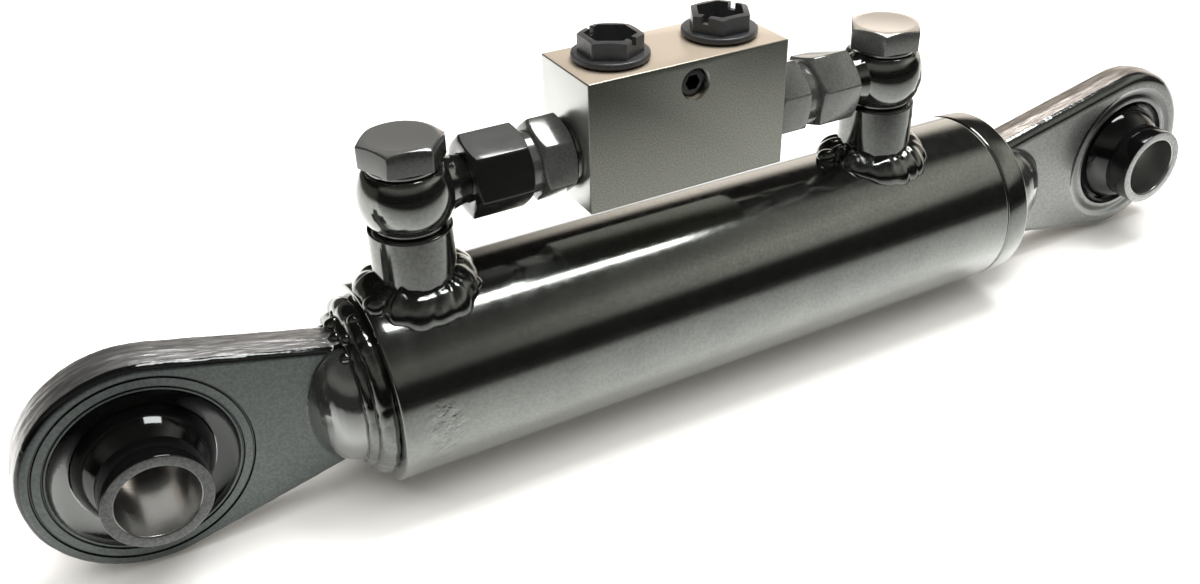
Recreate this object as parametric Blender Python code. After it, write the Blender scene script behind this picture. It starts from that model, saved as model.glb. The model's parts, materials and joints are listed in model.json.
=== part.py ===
"""Hydraulic tractor top link with a double pilot-operated check valve.

The link lies along X, with its base eye at -X and its rod eye at +X, and stands on the rims of
its two eyes with the ports on top. Pieces are drawn about the barrel: x = 0 at the barrel's
base rim and z = 0 on its axis. One empty moves them all so that the model's origin is under the
middle of the retracted link, where its eyes stand.
"""
import bpy
import bmesh
from math import acos, asin, atan2, cos, pi, radians, sin, sqrt, tau

MM = 0.001

# Running clearances and cutting allowances
SEAT = 0.3 * MM
OVERRUN = 3 * MM
MERGE = 0.001 * MM
EDGE = 0.8 * MM
SMALL_EDGE = 0.5 * MM

# Facets round a full turn
COARSE = 12
SMALL = 16
MEDIUM = 20
FINE = 24
HEX_TURN = 18
EYE_PARTS = 20
RACE_PARTS = 4
BALL_PARTS = 6
DOME_PARTS = 6
BULGE_PARTS = 4
O_RING_SIDES = 5
BEAD_SIDES = 8
COIL_PARTS = 8
COIL_SIDES = 4
SMOOTH_ANGLE = radians(40)

# Barrel
BARREL_BORE = 60 * MM
BARREL_WALL = 5 * MM
STROKE = 150 * MM
STROKE_SPARE = 2.2 * MM
BORE_R = BARREL_BORE / 2
BARREL_R = BORE_R + BARREL_WALL
INNER_R = BORE_R - SEAT

# Base cap, welded in the barrel
CAP_DEPTH = 12 * MM
CAP_PROUD = 0.7 * MM

# Both eyes: forged plate, ball race and shank
EYE_RIM = 8.6 * MM
EYE_THICK = 16.5 * MM
NECK_HALF = 22 * MM
EYE_ROUND = 2.2 * MM
EYE_ROUND_SHARE = 0.3
BALL_R = 22.5 * MM
RACE_LIP = 6 * MM
BALL_WIDTH = 51 * MM
PIN_BORE_R = 12.7 * MM
COLLAR_R = 16.7 * MM
RING_GROOVE = 1.4 * MM
RING_GROOVE_DEPTH = 0.7 * MM

# Base eye
BASE_REACH = 75 * MM
BASE_SHANK_R = 24 * MM
BASE_WELD_INSET = 4.5 * MM
BASE_WELD_RUN = 7.5 * MM
BASE_DOME = 16 * MM
BASE_DISH_FLARE = 7.4 * MM
BASE_GROOVE_OUT = 3.9 * MM

# Rod and rod eye
ROD_R = 17.5 * MM
SPIGOT_R = 12 * MM
EYE_SPIGOT_R = 10 * MM
EYE_SPIGOT = 12 * MM
ROD_REACH = 84.5 * MM
ROD_SHANK_R = 22 * MM
ROD_SHANK = 5 * MM
ROD_DOME = 15 * MM
ROD_DISH_FLARE = 0.8 * MM
ROD_GROOVE_OUT = 5.2 * MM

# Piston and its nut
NUT_GAP = 3.5 * MM
NUT_AF = 36 * MM
NUT_HEIGHT = 14 * MM
TIP_PROUD = 1.5 * MM
ROD_RING_DEEP = 1.7 * MM
PISTON_LENGTH = 28 * MM
PISTON_NOSE = 12 * MM
PISTON_NOSE_R = 24 * MM
WEAR_RING = 5.4 * MM
WEAR_RING_DEEP = 2.6 * MM
PISTON_SEAL = 8 * MM
PISTON_SEAL_DEEP = 5.5 * MM
PISTON_LAND = 1.8 * MM

# Gland
GLAND_FLANGE = 10.7 * MM
GLAND_INSIDE = 38.5 * MM
GLAND_CHAMFER = 1.2 * MM
STEM_SEAL_DEEP = 4.2 * MM
GUIDE_DEEP = 2.8 * MM
GUIDE_LENGTH = 10 * MM
GUIDE_INSET = 5 * MM
ROD_SEAL = 8 * MM
ROD_SEAL_INSET = 20 * MM
WIPER = 6.5 * MM
WIPER_PROUD = 0.7 * MM
O_RING_R = 1 * MM
O_RING_GROOVE = 3.6 * MM
O_RING_DEEP = 2.6 * MM
O_RING_INSET = 8 * MM

# Port bosses and their weld beads
PORT_BASE_X = 21.3 * MM
PORT_ROD_INSIDE = 7.3 * MM
BOSS_WALL = 5.4 * MM
BOSS_HEIGHT = 20.6 * MM
BOSS_UNDER = 3 * MM
THREAD_R = 8.3 * MM
PASSAGE_R = 4 * MM
BEAD_R = 5.2 * MM
BEAD_OUT = 1.6 * MM

# Banjo joints
WASHER = 1.3 * MM
WASHER_WIDE = 3.4 * MM
BANJO_R = 16 * MM
BANJO_HEIGHT = 18.6 * MM
BANJO_GALLERY_DEEP = 2 * MM
BANJO_GALLERY = 8 * MM
HEX_WALL = 1.6 * MM
HEAD_HEIGHT = 8.4 * MM
HEX_CHAMFER = 1.6 * MM
BOLT_REACH = 15.5 * MM
BOLT_HOLE_R = 4.2 * MM
CROSS_HOLE_R = 3 * MM
STEM_R = 8 * MM
BOLT_TURN = radians(-8)

# Pipe unions, with distances from the port's axis towards the valve block
NUT_CLEAR = 3.5 * MM
NUT_LENGTH = 17.5 * MM
NUT_WALL = 3.2 * MM
NUT_TURN = radians(15)
UNION_WALL = 2.3 * MM
RING_LENGTH = 4.6 * MM
RING_CLEAR = 0.7 * MM
STEM_PROUD = 0.5 * MM
ADAPTER_HEX = 13.6 * MM
ADAPTER_THREAD = 10 * MM
ADAPTER_SEAL = 1.4 * MM
ADAPTER_BORE_R = 2.8 * MM
ADAPTER_TURN = radians(21)

# Valve block and its inner parts
BLOCK_LENGTH = 78 * MM
BLOCK_DEPTH = 33 * MM
BLOCK_HEIGHT = 46.3 * MM
BLOCK_UNDER_PORT = 16.8 * MM
VALVE_BORE_R = 7 * MM
TOP_PORT_APART = 43 * MM
TOP_PORT_R = 8.4 * MM
TOP_PORT_DEEP = 15 * MM
CROSS_DRILL_R = 2.1 * MM
CROSS_DRILL_INBOARD = 1.7 * MM
FRONT_DRILL_X = 1.5 * MM
FRONT_DRILL_DOWN = 8.3 * MM
FRONT_DRILL_R = 5.2 * MM
FRONT_DRILL_DEEP = 12 * MM
CHECK_ROOM = 12 * MM
SEAT_RING = 3 * MM
SEAT_HOLE_R = 3.6 * MM
POPPET_LENGTH = 6.2 * MM
POPPET_NOSE = 1.8 * MM
POPPET_POCKET_R = 4.3 * MM
POPPET_POCKET = 4 * MM
SPRING_WIRE_R = 0.45 * MM
SPRING_CLEAR = 0.45 * MM
SPRING_TURNS = 3
SPOOL_BODY = 17 * MM
SPOOL_PIN_R = 2.2 * MM
SPOOL_FREE = 1.3 * MM

# Plastic port plugs and the front set screw
PLUG_FLANGE_OVER = 4.9 * MM
PLUG_FLANGE = 2.6 * MM
PLUG_HEX_AF = 19.5 * MM
PLUG_HEX = 6 * MM
PLUG_WALL = 0.8 * MM
PLUG_POCKET = 11 * MM
PLUG_SHANK = 12 * MM
PLUG_NOTCH = 4 * MM
PLUG_NOTCH_DEEP = 2.6 * MM
PLUG_TURN = radians(20)
NOTCH_TURN = radians(50)
SCREW_SINK = 2 * MM
SCREW_LENGTH = 8 * MM
SCREW_SOCKET_AF = 5 * MM
SCREW_SOCKET = 4 * MM

# Places that follow from the sizes above
RACE_LIP_R = sqrt((BALL_R + SEAT) ** 2 - RACE_LIP ** 2)
BASE_DISH_R = RACE_LIP_R + BASE_DISH_FLARE
BASE_GROOVE_R = BASE_DISH_R + BASE_GROOVE_OUT
ROD_DISH_R = RACE_LIP_R + ROD_DISH_FLARE
ROD_GROOVE_R = ROD_DISH_R + ROD_GROOVE_OUT
EYE_R = BASE_DISH_R + EYE_RIM
BASE_EYE_X = -BASE_REACH
NUT_X = CAP_DEPTH + NUT_GAP
PISTON_X = NUT_X + NUT_HEIGHT + SEAT
PISTON_END_X = PISTON_X + PISTON_LENGTH + PISTON_NOSE
GLAND_INNER_X = PISTON_END_X + STROKE + STROKE_SPARE
BARREL_LENGTH = GLAND_INNER_X + GLAND_INSIDE
GLAND_FACE_X = BARREL_LENGTH + SEAT + GLAND_FLANGE
ROD_FACE_X = GLAND_FACE_X + 2 * SEAT + WIPER_PROUD
ROD_BODY_END_X = ROD_FACE_X - SEAT
ROD_EYE_X = ROD_FACE_X + ROD_REACH
PORT_ROD_X = GLAND_INNER_X - PORT_ROD_INSIDE
BOSS_TOP = BARREL_R + BOSS_HEIGHT
BOSS_FLOOR = BARREL_R + BOSS_UNDER
BOSS_R = THREAD_R + SEAT + BOSS_WALL
BEAD_PATH_R = BOSS_R + BEAD_OUT
WASHER_R = THREAD_R + SEAT + WASHER_WIDE
BANJO_GALLERY_R = THREAD_R + SEAT + BANJO_GALLERY_DEEP
UNION_THREAD_R = STEM_R + SEAT + UNION_WALL
RING_R = UNION_THREAD_R - RING_CLEAR
HEX_AF = 2 * (UNION_THREAD_R + SEAT + HEX_WALL)
NUT_START = BANJO_R + NUT_CLEAR
STEM_LENGTH = NUT_START + NUT_LENGTH + STEM_PROUD
BANJO_LOW_Z = BOSS_TOP + WASHER + 2 * SEAT
PORT_Z = BANJO_LOW_Z + BANJO_HEIGHT / 2
HEAD_Z = PORT_Z + BANJO_HEIGHT / 2 + WASHER + 2 * SEAT
BLOCK_X = (PORT_BASE_X + PORT_ROD_X) / 2
BLOCK_LOW_Z = PORT_Z - BLOCK_UNDER_PORT
BLOCK_TOP_Z = BLOCK_LOW_Z + BLOCK_HEIGHT
BLOCK_AWAY = BLOCK_X - PORT_BASE_X - BLOCK_LENGTH / 2
ADAPTER_HEX_START = BLOCK_AWAY - ADAPTER_SEAL - 2 * SEAT - ADAPTER_HEX
ADAPTER_TIP_AWAY = BLOCK_LENGTH / 2 - ADAPTER_THREAD
SEAT_RING_AWAY = ADAPTER_TIP_AWAY - CHECK_ROOM
SPRING_R = POPPET_POCKET_R - SPRING_WIRE_R - SPRING_CLEAR
PLUG_FLANGE_R = TOP_PORT_R + PLUG_FLANGE_OVER
PLUG_POCKET_R = TOP_PORT_R - SEAT - PLUG_WALL
BASE_WELD_R = BARREL_R - BASE_WELD_INSET
FRAME_SHIFT = (-(BASE_EYE_X + ROD_EYE_X) / 2, 0, EYE_R)

AXIS_X = (1, 0, 0)
AXIS_Y = (0, 1, 0)
AXIS_Z = (0, 0, 1)

GLOSS_BLACK = ((0.022, 0.023, 0.024), 0.22, 0.1)
BALL_STEEL = ((0.2, 0.2, 0.19), 0.18, 1.0)
BRIGHT_STEEL = ((0.62, 0.62, 0.6), 0.2, 1.0)
DARK_PLASTIC = ((0.045, 0.045, 0.047), 0.55, 0.0)
BLACK_RUBBER = ((0.02, 0.02, 0.02), 0.7, 0.0)
SEAL_GREEN = ((0.05, 0.22, 0.16), 0.5, 0.0)
SEAL_BRONZE = ((0.45, 0.3, 0.14), 0.45, 0.2)


def clear_scene():
    for old in list(bpy.data.objects):
        bpy.data.objects.remove(old, do_unlink=True)


def finish_material(name, finish):
    colour, roughness, metallic = finish
    material = bpy.data.materials.new(name)
    material.use_nodes = True
    shader = material.node_tree.nodes["Principled BSDF"]
    shader.inputs["Base Color"].default_value = (*colour, 1)
    shader.inputs["Roughness"].default_value = roughness
    shader.inputs["Metallic"].default_value = metallic
    return material


def add_empty(name, place, parent=None):
    empty = bpy.data.objects.new(name, None)
    bpy.context.scene.collection.objects.link(empty)
    empty.location = place
    empty.parent = parent
    return empty


def add_object(name, bm, parent, finish, place=(0, 0, 0), turn=0):
    """An object from a bmesh. turn is its rotation about Z."""
    bmesh.ops.recalc_face_normals(bm, faces=bm.faces)
    mesh = bpy.data.meshes.new(name)
    bm.to_mesh(mesh)
    bm.free()
    mesh.shade_smooth()
    mesh.set_sharp_from_angle(angle=SMOOTH_ANGLE)
    piece = bpy.data.objects.new(name, mesh)
    bpy.context.scene.collection.objects.link(piece)
    piece.parent = parent
    piece.location = place
    piece.rotation_euler = (0, 0, turn)
    if finish:
        mesh.materials.append(finish_material(name, finish))
    return piece


def add_tool(name, bm, parent, place=(0, 0, 0), turn=0):
    """A cutter or another shape that only takes part in a Boolean."""
    tool = add_object(name, bm, parent, None, place, turn)
    tool.hide_render = True
    tool.display_type = 'WIRE'
    return tool


def combine(piece, tool, operation='DIFFERENCE'):
    step = piece.modifiers.new(tool.name, 'BOOLEAN')
    step.operation = operation
    step.solver = 'EXACT'
    step.object = tool


def section_point(axis, along, radius):
    if axis == AXIS_X:
        return (along, 0, radius)
    if axis == AXIS_Y:
        return (radius, along, 0)
    return (radius, 0, along)


def turned(outline, axis, steps):
    """A turned solid. outline holds (along the axis, radius) points: a closed loop for a ring,
    or an open line that starts and ends on the axis."""
    bm = bmesh.new()
    verts = [bm.verts.new(section_point(axis, along, radius)) for along, radius in outline]
    ends = verts[1:] + (verts[:1] if outline[0][1] > 0 else [])
    edges = [bm.edges.new(pair) for pair in zip(verts, ends)]
    bmesh.ops.spin(bm, geom=verts + edges, cent=(0, 0, 0), axis=axis, angle=tau, steps=steps,
                   use_merge=True, use_duplicate=False)
    bmesh.ops.remove_doubles(bm, verts=bm.verts, dist=MERGE)
    return bm


def rod_between(low, high, radius, axis, steps):
    return turned([(low, 0), (low, radius), (high, radius), (high, 0)], axis, steps)


def tube_between(low, high, inner, outer, axis, steps, edge=0):
    """A plain ring with its outer edges chamfered by edge."""
    if not edge:
        return turned([(low, inner), (low, outer), (high, outer), (high, inner)], axis, steps)
    outline = [(low, inner), (low, outer - edge), (low + edge, outer)]
    outline += [(high - edge, outer), (high, outer - edge), (high, inner)]
    return turned(outline, axis, steps)


def arc(centre, radius, start, end, parts):
    """Points on an arc, as (along, radius) pairs. Angles run from the axis direction."""
    along, out = centre
    angles = [start + (end - start) * step / parts for step in range(parts + 1)]
    return [(along + radius * cos(angle), out + radius * sin(angle)) for angle in angles]


def lofted(rings):
    """A solid skinned over rings with the same number of points, with flat ends."""
    bm = bmesh.new()
    loops = [[bm.verts.new(point) for point in ring] for ring in rings]
    for low, high in zip(loops, loops[1:]):
        for here in range(len(low)):
            after = (here + 1) % len(low)
            bm.faces.new((low[here], low[after], high[after], high[here]))
    bm.faces.new(loops[0])
    bm.faces.new(loops[-1])
    return bm


def hex_prism(af, low, high, axis, turn=0):
    corner = af / sqrt(3)
    rings = []
    for along in (low, high):
        ring = []
        for side in range(6):
            angle = turn + side * tau / 6
            flat_a = corner * cos(angle)
            flat_b = corner * sin(angle)
            ring.append((along, flat_a, flat_b) if axis == AXIS_X else (flat_a, flat_b, along))
        rings.append(ring)
    return lofted(rings)


def hex_chamfer(af, low, high, axis, both_ends):
    """The turned envelope whose cones take the corners off a hexagon."""
    face = af / 2 - SMALL_EDGE
    wide = af / sqrt(3) + SEAT
    run = HEX_CHAMFER
    outline = [(low, 0), (low, face), (low + run, wide)] if both_ends else [(low, 0), (low, wide)]
    outline += [(high - run, wide), (high, face), (high, 0)]
    return turned(outline, axis, HEX_TURN)


def box(low, high):
    ring = [(low[0], low[1]), (high[0], low[1]), (high[0], high[1]), (low[0], high[1])]
    return lofted([[(x, y, z) for x, y in ring] for z in (low[2], high[2])])


def chamfer_edges(piece, width):
    bevel = piece.modifiers.new("edges", 'BEVEL')
    bevel.width = width
    bevel.segments = 1
    bevel.limit_method = 'ANGLE'


def make_barrel(frame):
    rim = EDGE / 2
    outline = [(0, BORE_R), (0, BARREL_R - rim), (rim, BARREL_R)]
    outline += [(BARREL_LENGTH - rim, BARREL_R), (BARREL_LENGTH, BARREL_R - rim), (BARREL_LENGTH, BORE_R)]
    barrel = add_object("barrel_tube", turned(outline, AXIS_X, FINE), frame, GLOSS_BLACK)
    for name, port_x in (("base", PORT_BASE_X), ("rod", PORT_ROD_X)):
        drill = rod_between(BORE_R - OVERRUN, BARREL_R + OVERRUN, PASSAGE_R, AXIS_Z, COARSE)
        combine(barrel, add_tool("cut_barrel_" + name, drill, frame, (port_x, 0, 0)))


def make_base_cap(frame):
    outline = [(-CAP_PROUD, 0), (-CAP_PROUD, INNER_R), (CAP_DEPTH - EDGE, INNER_R)]
    outline += [(CAP_DEPTH, INNER_R - EDGE), (CAP_DEPTH, 0)]
    add_object("base_cap", turned(outline, AXIS_X, FINE), frame, GLOSS_BLACK)


def eye_outline(reach, inset, side):
    """Points round the plate: a round head at the pin, and straight sides to the neck's end.
    side is +1 when the neck runs to +X and -1 when it runs to -X."""
    head = EYE_R - inset
    half = NECK_HALF - inset
    touch = atan2(half, reach) + acos(head / sqrt(reach * reach + half * half))
    angles = [touch + (tau - 2 * touch) * step / EYE_PARTS for step in range(EYE_PARTS + 1)]
    points = [(reach, -half), (reach, half)]
    points += [(head * cos(angle), head * sin(angle)) for angle in angles]
    return [(side * along, up) for along, up in points]


def eye_plate(reach, side):
    """The forged plate, with rounded edges and a flat rim that it can stand on."""
    half = EYE_THICK / 2
    fall = EYE_ROUND * EYE_ROUND_SHARE
    levels = [(-half, EYE_ROUND), (-half + fall, fall), (-half + EYE_ROUND, 0)]
    levels += [(half - EYE_ROUND, 0), (half - fall, fall), (half, EYE_ROUND)]
    rings = [[(x, y, z) for x, z in eye_outline(reach, inset, side)] for y, inset in levels]
    return lofted(rings)


def race_cutter(dish_r):
    """Takes the ball's seat and both dished mouths out of an eye."""
    half = EYE_THICK / 2
    seat_r = BALL_R + SEAT
    open_angle = acos(RACE_LIP / seat_r)
    slope = (dish_r - RACE_LIP_R) / (half - RACE_LIP)
    mouth = half + OVERRUN
    mouth_r = dish_r + slope * OVERRUN
    outline = [(-mouth, 0), (-mouth, mouth_r)]
    outline += arc((0, 0), seat_r, pi - open_angle, open_angle, RACE_PARTS)
    outline += [(mouth, mouth_r), (mouth, 0)]
    return turned(outline, AXIS_Y, FINE)


def ring_groove_cutter(groove_r):
    """One shallow ring groove in each flat face."""
    bm = bmesh.new()
    half = EYE_THICK / 2
    for side in (-1, 1):
        face = side * half
        deep = face - side * RING_GROOVE_DEPTH
        clear = face + side * RING_GROOVE_DEPTH
        outline = [(clear, groove_r - RING_GROOVE), (deep, groove_r), (clear, groove_r + RING_GROOVE)]
        ring = turned(outline, AXIS_Y, FINE)
        mesh = bpy.data.meshes.new("ring")
        ring.to_mesh(mesh)
        ring.free()
        bm.from_mesh(mesh)
        bpy.data.meshes.remove(mesh)
    return bm


def dome_profile(foot, side, shank_r, shank, dome):
    """The shank's outline from its foot to the round nose that runs into the plate."""
    nose = [(foot + side * (shank + dome * sin(angle)), shank_r * cos(angle))
            for angle in (pi / 2 * step / DOME_PARTS for step in range(DOME_PARTS + 1))]
    nose[-1] = (foot + side * (shank + dome), 0)
    return nose


def finish_eye(eye, name, dish_r, groove_r, place, parent):
    combine(eye, add_tool("cut_race_" + name, race_cutter(dish_r), parent, place))
    combine(eye, add_tool("cut_rings_" + name, ring_groove_cutter(groove_r), parent, place))


def make_base_eye(frame):
    pin = (BASE_EYE_X, 0, 0)
    face = -CAP_PROUD - SEAT
    plate = eye_plate(BASE_REACH - CAP_DEPTH / 2, 1)
    eye = add_object("base_eye", plate, frame, GLOSS_BLACK, pin)
    bulge = arc((face, BASE_SHANK_R), BASE_WELD_R - BASE_SHANK_R, pi / 2, pi, BULGE_PARTS)
    stretch = BASE_WELD_RUN / (BASE_WELD_R - BASE_SHANK_R)
    weld = [(face + (along - face) * stretch, out) for along, out in bulge]
    outline = [(face, 0)] + weld + dome_profile(face, -1, BASE_SHANK_R, BASE_WELD_RUN, BASE_DOME)
    combine(eye, add_tool("shank_base", turned(outline, AXIS_X, FINE), frame), 'UNION')
    finish_eye(eye, "base", BASE_DISH_R, BASE_GROOVE_R, pin, frame)


def make_ball(name, parent, place):
    """Ball with a collar each side. Its origin is the ball's centre, on the pin's axis."""
    half = BALL_WIDTH / 2
    root = acos(COLLAR_R / BALL_R)
    edge = EDGE / 2
    outline = [(-half + EDGE, PIN_BORE_R), (-half, PIN_BORE_R + EDGE), (-half, COLLAR_R - edge)]
    outline += [(-half + edge, COLLAR_R)] + arc((0, 0), BALL_R, pi / 2 + root, pi / 2 - root, BALL_PARTS)
    outline += [(half - edge, COLLAR_R), (half, COLLAR_R - edge), (half, PIN_BORE_R + EDGE)]
    outline += [(half - EDGE, PIN_BORE_R)]
    add_object(name, turned(outline, AXIS_Y, MEDIUM), parent, BALL_STEEL, place)


def make_rod(slide):
    """Rod with the piston's spigot, the seal groove in it, and the rod eye's spigot."""
    tip = NUT_X - TIP_PROUD
    groove = PISTON_X + PISTON_LENGTH / 2
    groove_half = O_RING_R + SEAT
    groove_r = SPIGOT_R - ROD_RING_DEEP
    outline = [(tip, 0), (tip, SPIGOT_R - EDGE), (tip + EDGE, SPIGOT_R)]
    outline += [(groove - groove_half, SPIGOT_R), (groove - groove_half, groove_r)]
    outline += [(groove + groove_half, groove_r), (groove + groove_half, SPIGOT_R)]
    outline += [(PISTON_END_X + SEAT, SPIGOT_R), (PISTON_END_X + SEAT, ROD_R - EDGE)]
    outline += [(PISTON_END_X + SEAT + EDGE, ROD_R), (ROD_BODY_END_X, ROD_R)]
    outline += [(ROD_BODY_END_X, EYE_SPIGOT_R), (ROD_BODY_END_X + EYE_SPIGOT, EYE_SPIGOT_R)]
    outline += [(ROD_BODY_END_X + EYE_SPIGOT, 0)]
    add_object("piston_rod", turned(outline, AXIS_X, MEDIUM), slide, BRIGHT_STEEL)
    ring_r = groove_r + SEAT
    ring = tube_between(groove - O_RING_R, groove + O_RING_R, ring_r, SPIGOT_R, AXIS_X, MEDIUM)
    add_object("piston_rod_seal", ring, slide, BLACK_RUBBER)


def groove_steps(starts, widths, depths):
    """Outer outline of the piston between its grooves, from low x to high x."""
    points = []
    for start, width, depth in zip(starts, widths, depths):
        floor = INNER_R - depth
        points += [(start, INNER_R), (start, floor), (start + width, floor), (start + width, INNER_R)]
    return points


def make_piston(slide):
    first = PISTON_X + PISTON_LAND
    seal = first + WEAR_RING + PISTON_LAND
    second = seal + PISTON_SEAL + PISTON_LAND
    body_end = PISTON_X + PISTON_LENGTH
    bore = SPIGOT_R + SEAT
    outline = [(PISTON_X, bore), (PISTON_X, INNER_R)]
    outline += groove_steps((first, seal, second), (WEAR_RING, PISTON_SEAL, WEAR_RING),
                            (WEAR_RING_DEEP, PISTON_SEAL_DEEP, WEAR_RING_DEEP))
    outline += [(body_end, INNER_R), (body_end, PISTON_NOSE_R), (PISTON_END_X, PISTON_NOSE_R)]
    outline += [(PISTON_END_X, bore)]
    add_object("piston", turned(outline, AXIS_X, FINE), slide, BRIGHT_STEEL)
    rings = (("piston_wear_ring_base", first, WEAR_RING, WEAR_RING_DEEP, SEAL_BRONZE),
             ("piston_seal", seal, PISTON_SEAL, PISTON_SEAL_DEEP, SEAL_GREEN),
             ("piston_wear_ring_rod", second, WEAR_RING, WEAR_RING_DEEP, SEAL_BRONZE))
    for name, start, width, depth, finish in rings:
        inner = INNER_R - depth + SEAT
        ring = tube_between(start + SEAT, start + width - SEAT, inner, INNER_R, AXIS_X, FINE)
        add_object(name, ring, slide, finish)


def make_piston_nut(slide):
    top = NUT_X + NUT_HEIGHT
    nut = add_object("piston_nut", hex_prism(NUT_AF, NUT_X, top, AXIS_X), slide, BRIGHT_STEEL)
    shape = hex_chamfer(NUT_AF, NUT_X, top, AXIS_X, True)
    combine(nut, add_tool("shape_piston_nut", shape, slide), 'INTERSECT')
    bore = rod_between(NUT_X - OVERRUN, top + OVERRUN, SPIGOT_R + SEAT, AXIS_X, SMALL)
    combine(nut, add_tool("bore_piston_nut", bore, slide))


def make_rod_eye(slide):
    pin = (ROD_EYE_X, 0, 0)
    eye = add_object("rod_eye", eye_plate(ROD_REACH - ROD_SHANK, -1), slide, GLOSS_BLACK, pin)
    outline = [(ROD_FACE_X, 0), (ROD_FACE_X, ROD_SHANK_R - EDGE), (ROD_FACE_X + EDGE, ROD_SHANK_R)]
    outline += dome_profile(ROD_FACE_X, 1, ROD_SHANK_R, ROD_SHANK, ROD_DOME)
    combine(eye, add_tool("shank_rod", turned(outline, AXIS_X, MEDIUM), slide), 'UNION')
    hole_end = ROD_BODY_END_X + EYE_SPIGOT + SEAT
    hole = rod_between(ROD_FACE_X - OVERRUN, hole_end, EYE_SPIGOT_R + SEAT, AXIS_X, MEDIUM)
    combine(eye, add_tool("hole_rod_eye", hole, slide))
    finish_eye(eye, "rod", ROD_DISH_R, ROD_GROOVE_R, pin, slide)


def make_gland(frame):
    """Gland screwed in the barrel's end, with grooves for its guide, rod seal, wiper and O-ring."""
    low = GLAND_INNER_X
    face = GLAND_FACE_X
    shoulder = BARREL_LENGTH + SEAT
    bore = ROD_R + SEAT
    ring_low = low + O_RING_INSET
    ring_high = ring_low + O_RING_GROOVE
    ring_r = INNER_R - O_RING_DEEP
    guide = low + GUIDE_INSET
    seal = low + ROD_SEAL_INSET
    wiper = face - WIPER
    outline = [(low, bore), (low, INNER_R), (ring_low, INNER_R), (ring_low, ring_r), (ring_high, ring_r)]
    outline += [(ring_high, INNER_R), (shoulder, INNER_R), (shoulder, BARREL_R)]
    outline += [(face - GLAND_CHAMFER, BARREL_R), (face, BARREL_R - GLAND_CHAMFER)]
    outline += [(face, bore + STEM_SEAL_DEEP), (wiper, bore + STEM_SEAL_DEEP), (wiper, bore)]
    outline += [(seal + ROD_SEAL, bore), (seal + ROD_SEAL, bore + STEM_SEAL_DEEP)]
    outline += [(seal, bore + STEM_SEAL_DEEP), (seal, bore)]
    outline += [(guide + GUIDE_LENGTH, bore), (guide + GUIDE_LENGTH, bore + GUIDE_DEEP)]
    outline += [(guide, bore + GUIDE_DEEP), (guide, bore)]
    add_object("gland", turned(outline, AXIS_X, FINE), frame, GLOSS_BLACK)
    centre = (ring_low + O_RING_GROOVE / 2, INNER_R - O_RING_R)
    section = arc(centre, O_RING_R, tau, 0, O_RING_SIDES)[:-1]
    add_object("gland_o_ring", turned(section, AXIS_X, MEDIUM), frame, BLACK_RUBBER)
    rings = (("rod_guide_ring", guide + SEAT, guide + GUIDE_LENGTH - SEAT, GUIDE_DEEP, SEAL_BRONZE),
             ("rod_seal", seal + SEAT, seal + ROD_SEAL - SEAT, STEM_SEAL_DEEP, SEAL_GREEN),
             ("rod_wiper", wiper + SEAT, face + WIPER_PROUD, STEM_SEAL_DEEP, BLACK_RUBBER))
    for name, start, end, depth, finish in rings:
        ring = tube_between(start, end, bore, bore + depth - SEAT, AXIS_X, MEDIUM)
        add_object(name, ring, frame, finish)


def weld_bead():
    """A round bead that follows the curve where a boss meets the barrel."""
    rings = []
    for step in range(MEDIUM):
        angle = tau * step / MEDIUM
        height = sqrt(BARREL_R ** 2 - (BEAD_PATH_R * sin(angle)) ** 2)
        ring = []
        for side in range(BEAD_SIDES):
            lean = tau * side / BEAD_SIDES
            out = BEAD_PATH_R + BEAD_R * cos(lean)
            ring.append((out * cos(angle), out * sin(angle), height + BEAD_R * sin(lean)))
        rings.append(ring)
    bm = bmesh.new()
    loops = [[bm.verts.new(point) for point in ring] for ring in rings]
    for low, high in zip(loops, loops[1:] + loops[:1]):
        for here in range(BEAD_SIDES):
            after = (here + 1) % BEAD_SIDES
            bm.faces.new((low[here], low[after], high[after], high[here]))
    return bm


def make_port_boss(frame, name, port_x):
    place = (port_x, 0, 0)
    foot = BORE_R
    outline = [(foot, PASSAGE_R), (foot, BOSS_R), (BOSS_TOP - EDGE, BOSS_R), (BOSS_TOP, BOSS_R - EDGE)]
    outline += [(BOSS_TOP, THREAD_R + SEAT), (BOSS_FLOOR, THREAD_R + SEAT), (BOSS_FLOOR, PASSAGE_R)]
    boss = add_object(name + "_port_boss", turned(outline, AXIS_Z, MEDIUM), frame, GLOSS_BLACK, place)
    combine(boss, add_tool("bead_" + name, weld_bead(), frame, place), 'UNION')
    span = BOSS_R + BEAD_PATH_R + BEAD_R
    saddle = rod_between(-span, span, BARREL_R + SEAT, AXIS_X, FINE)
    combine(boss, add_tool("saddle_" + name, saddle, frame, place))


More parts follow.
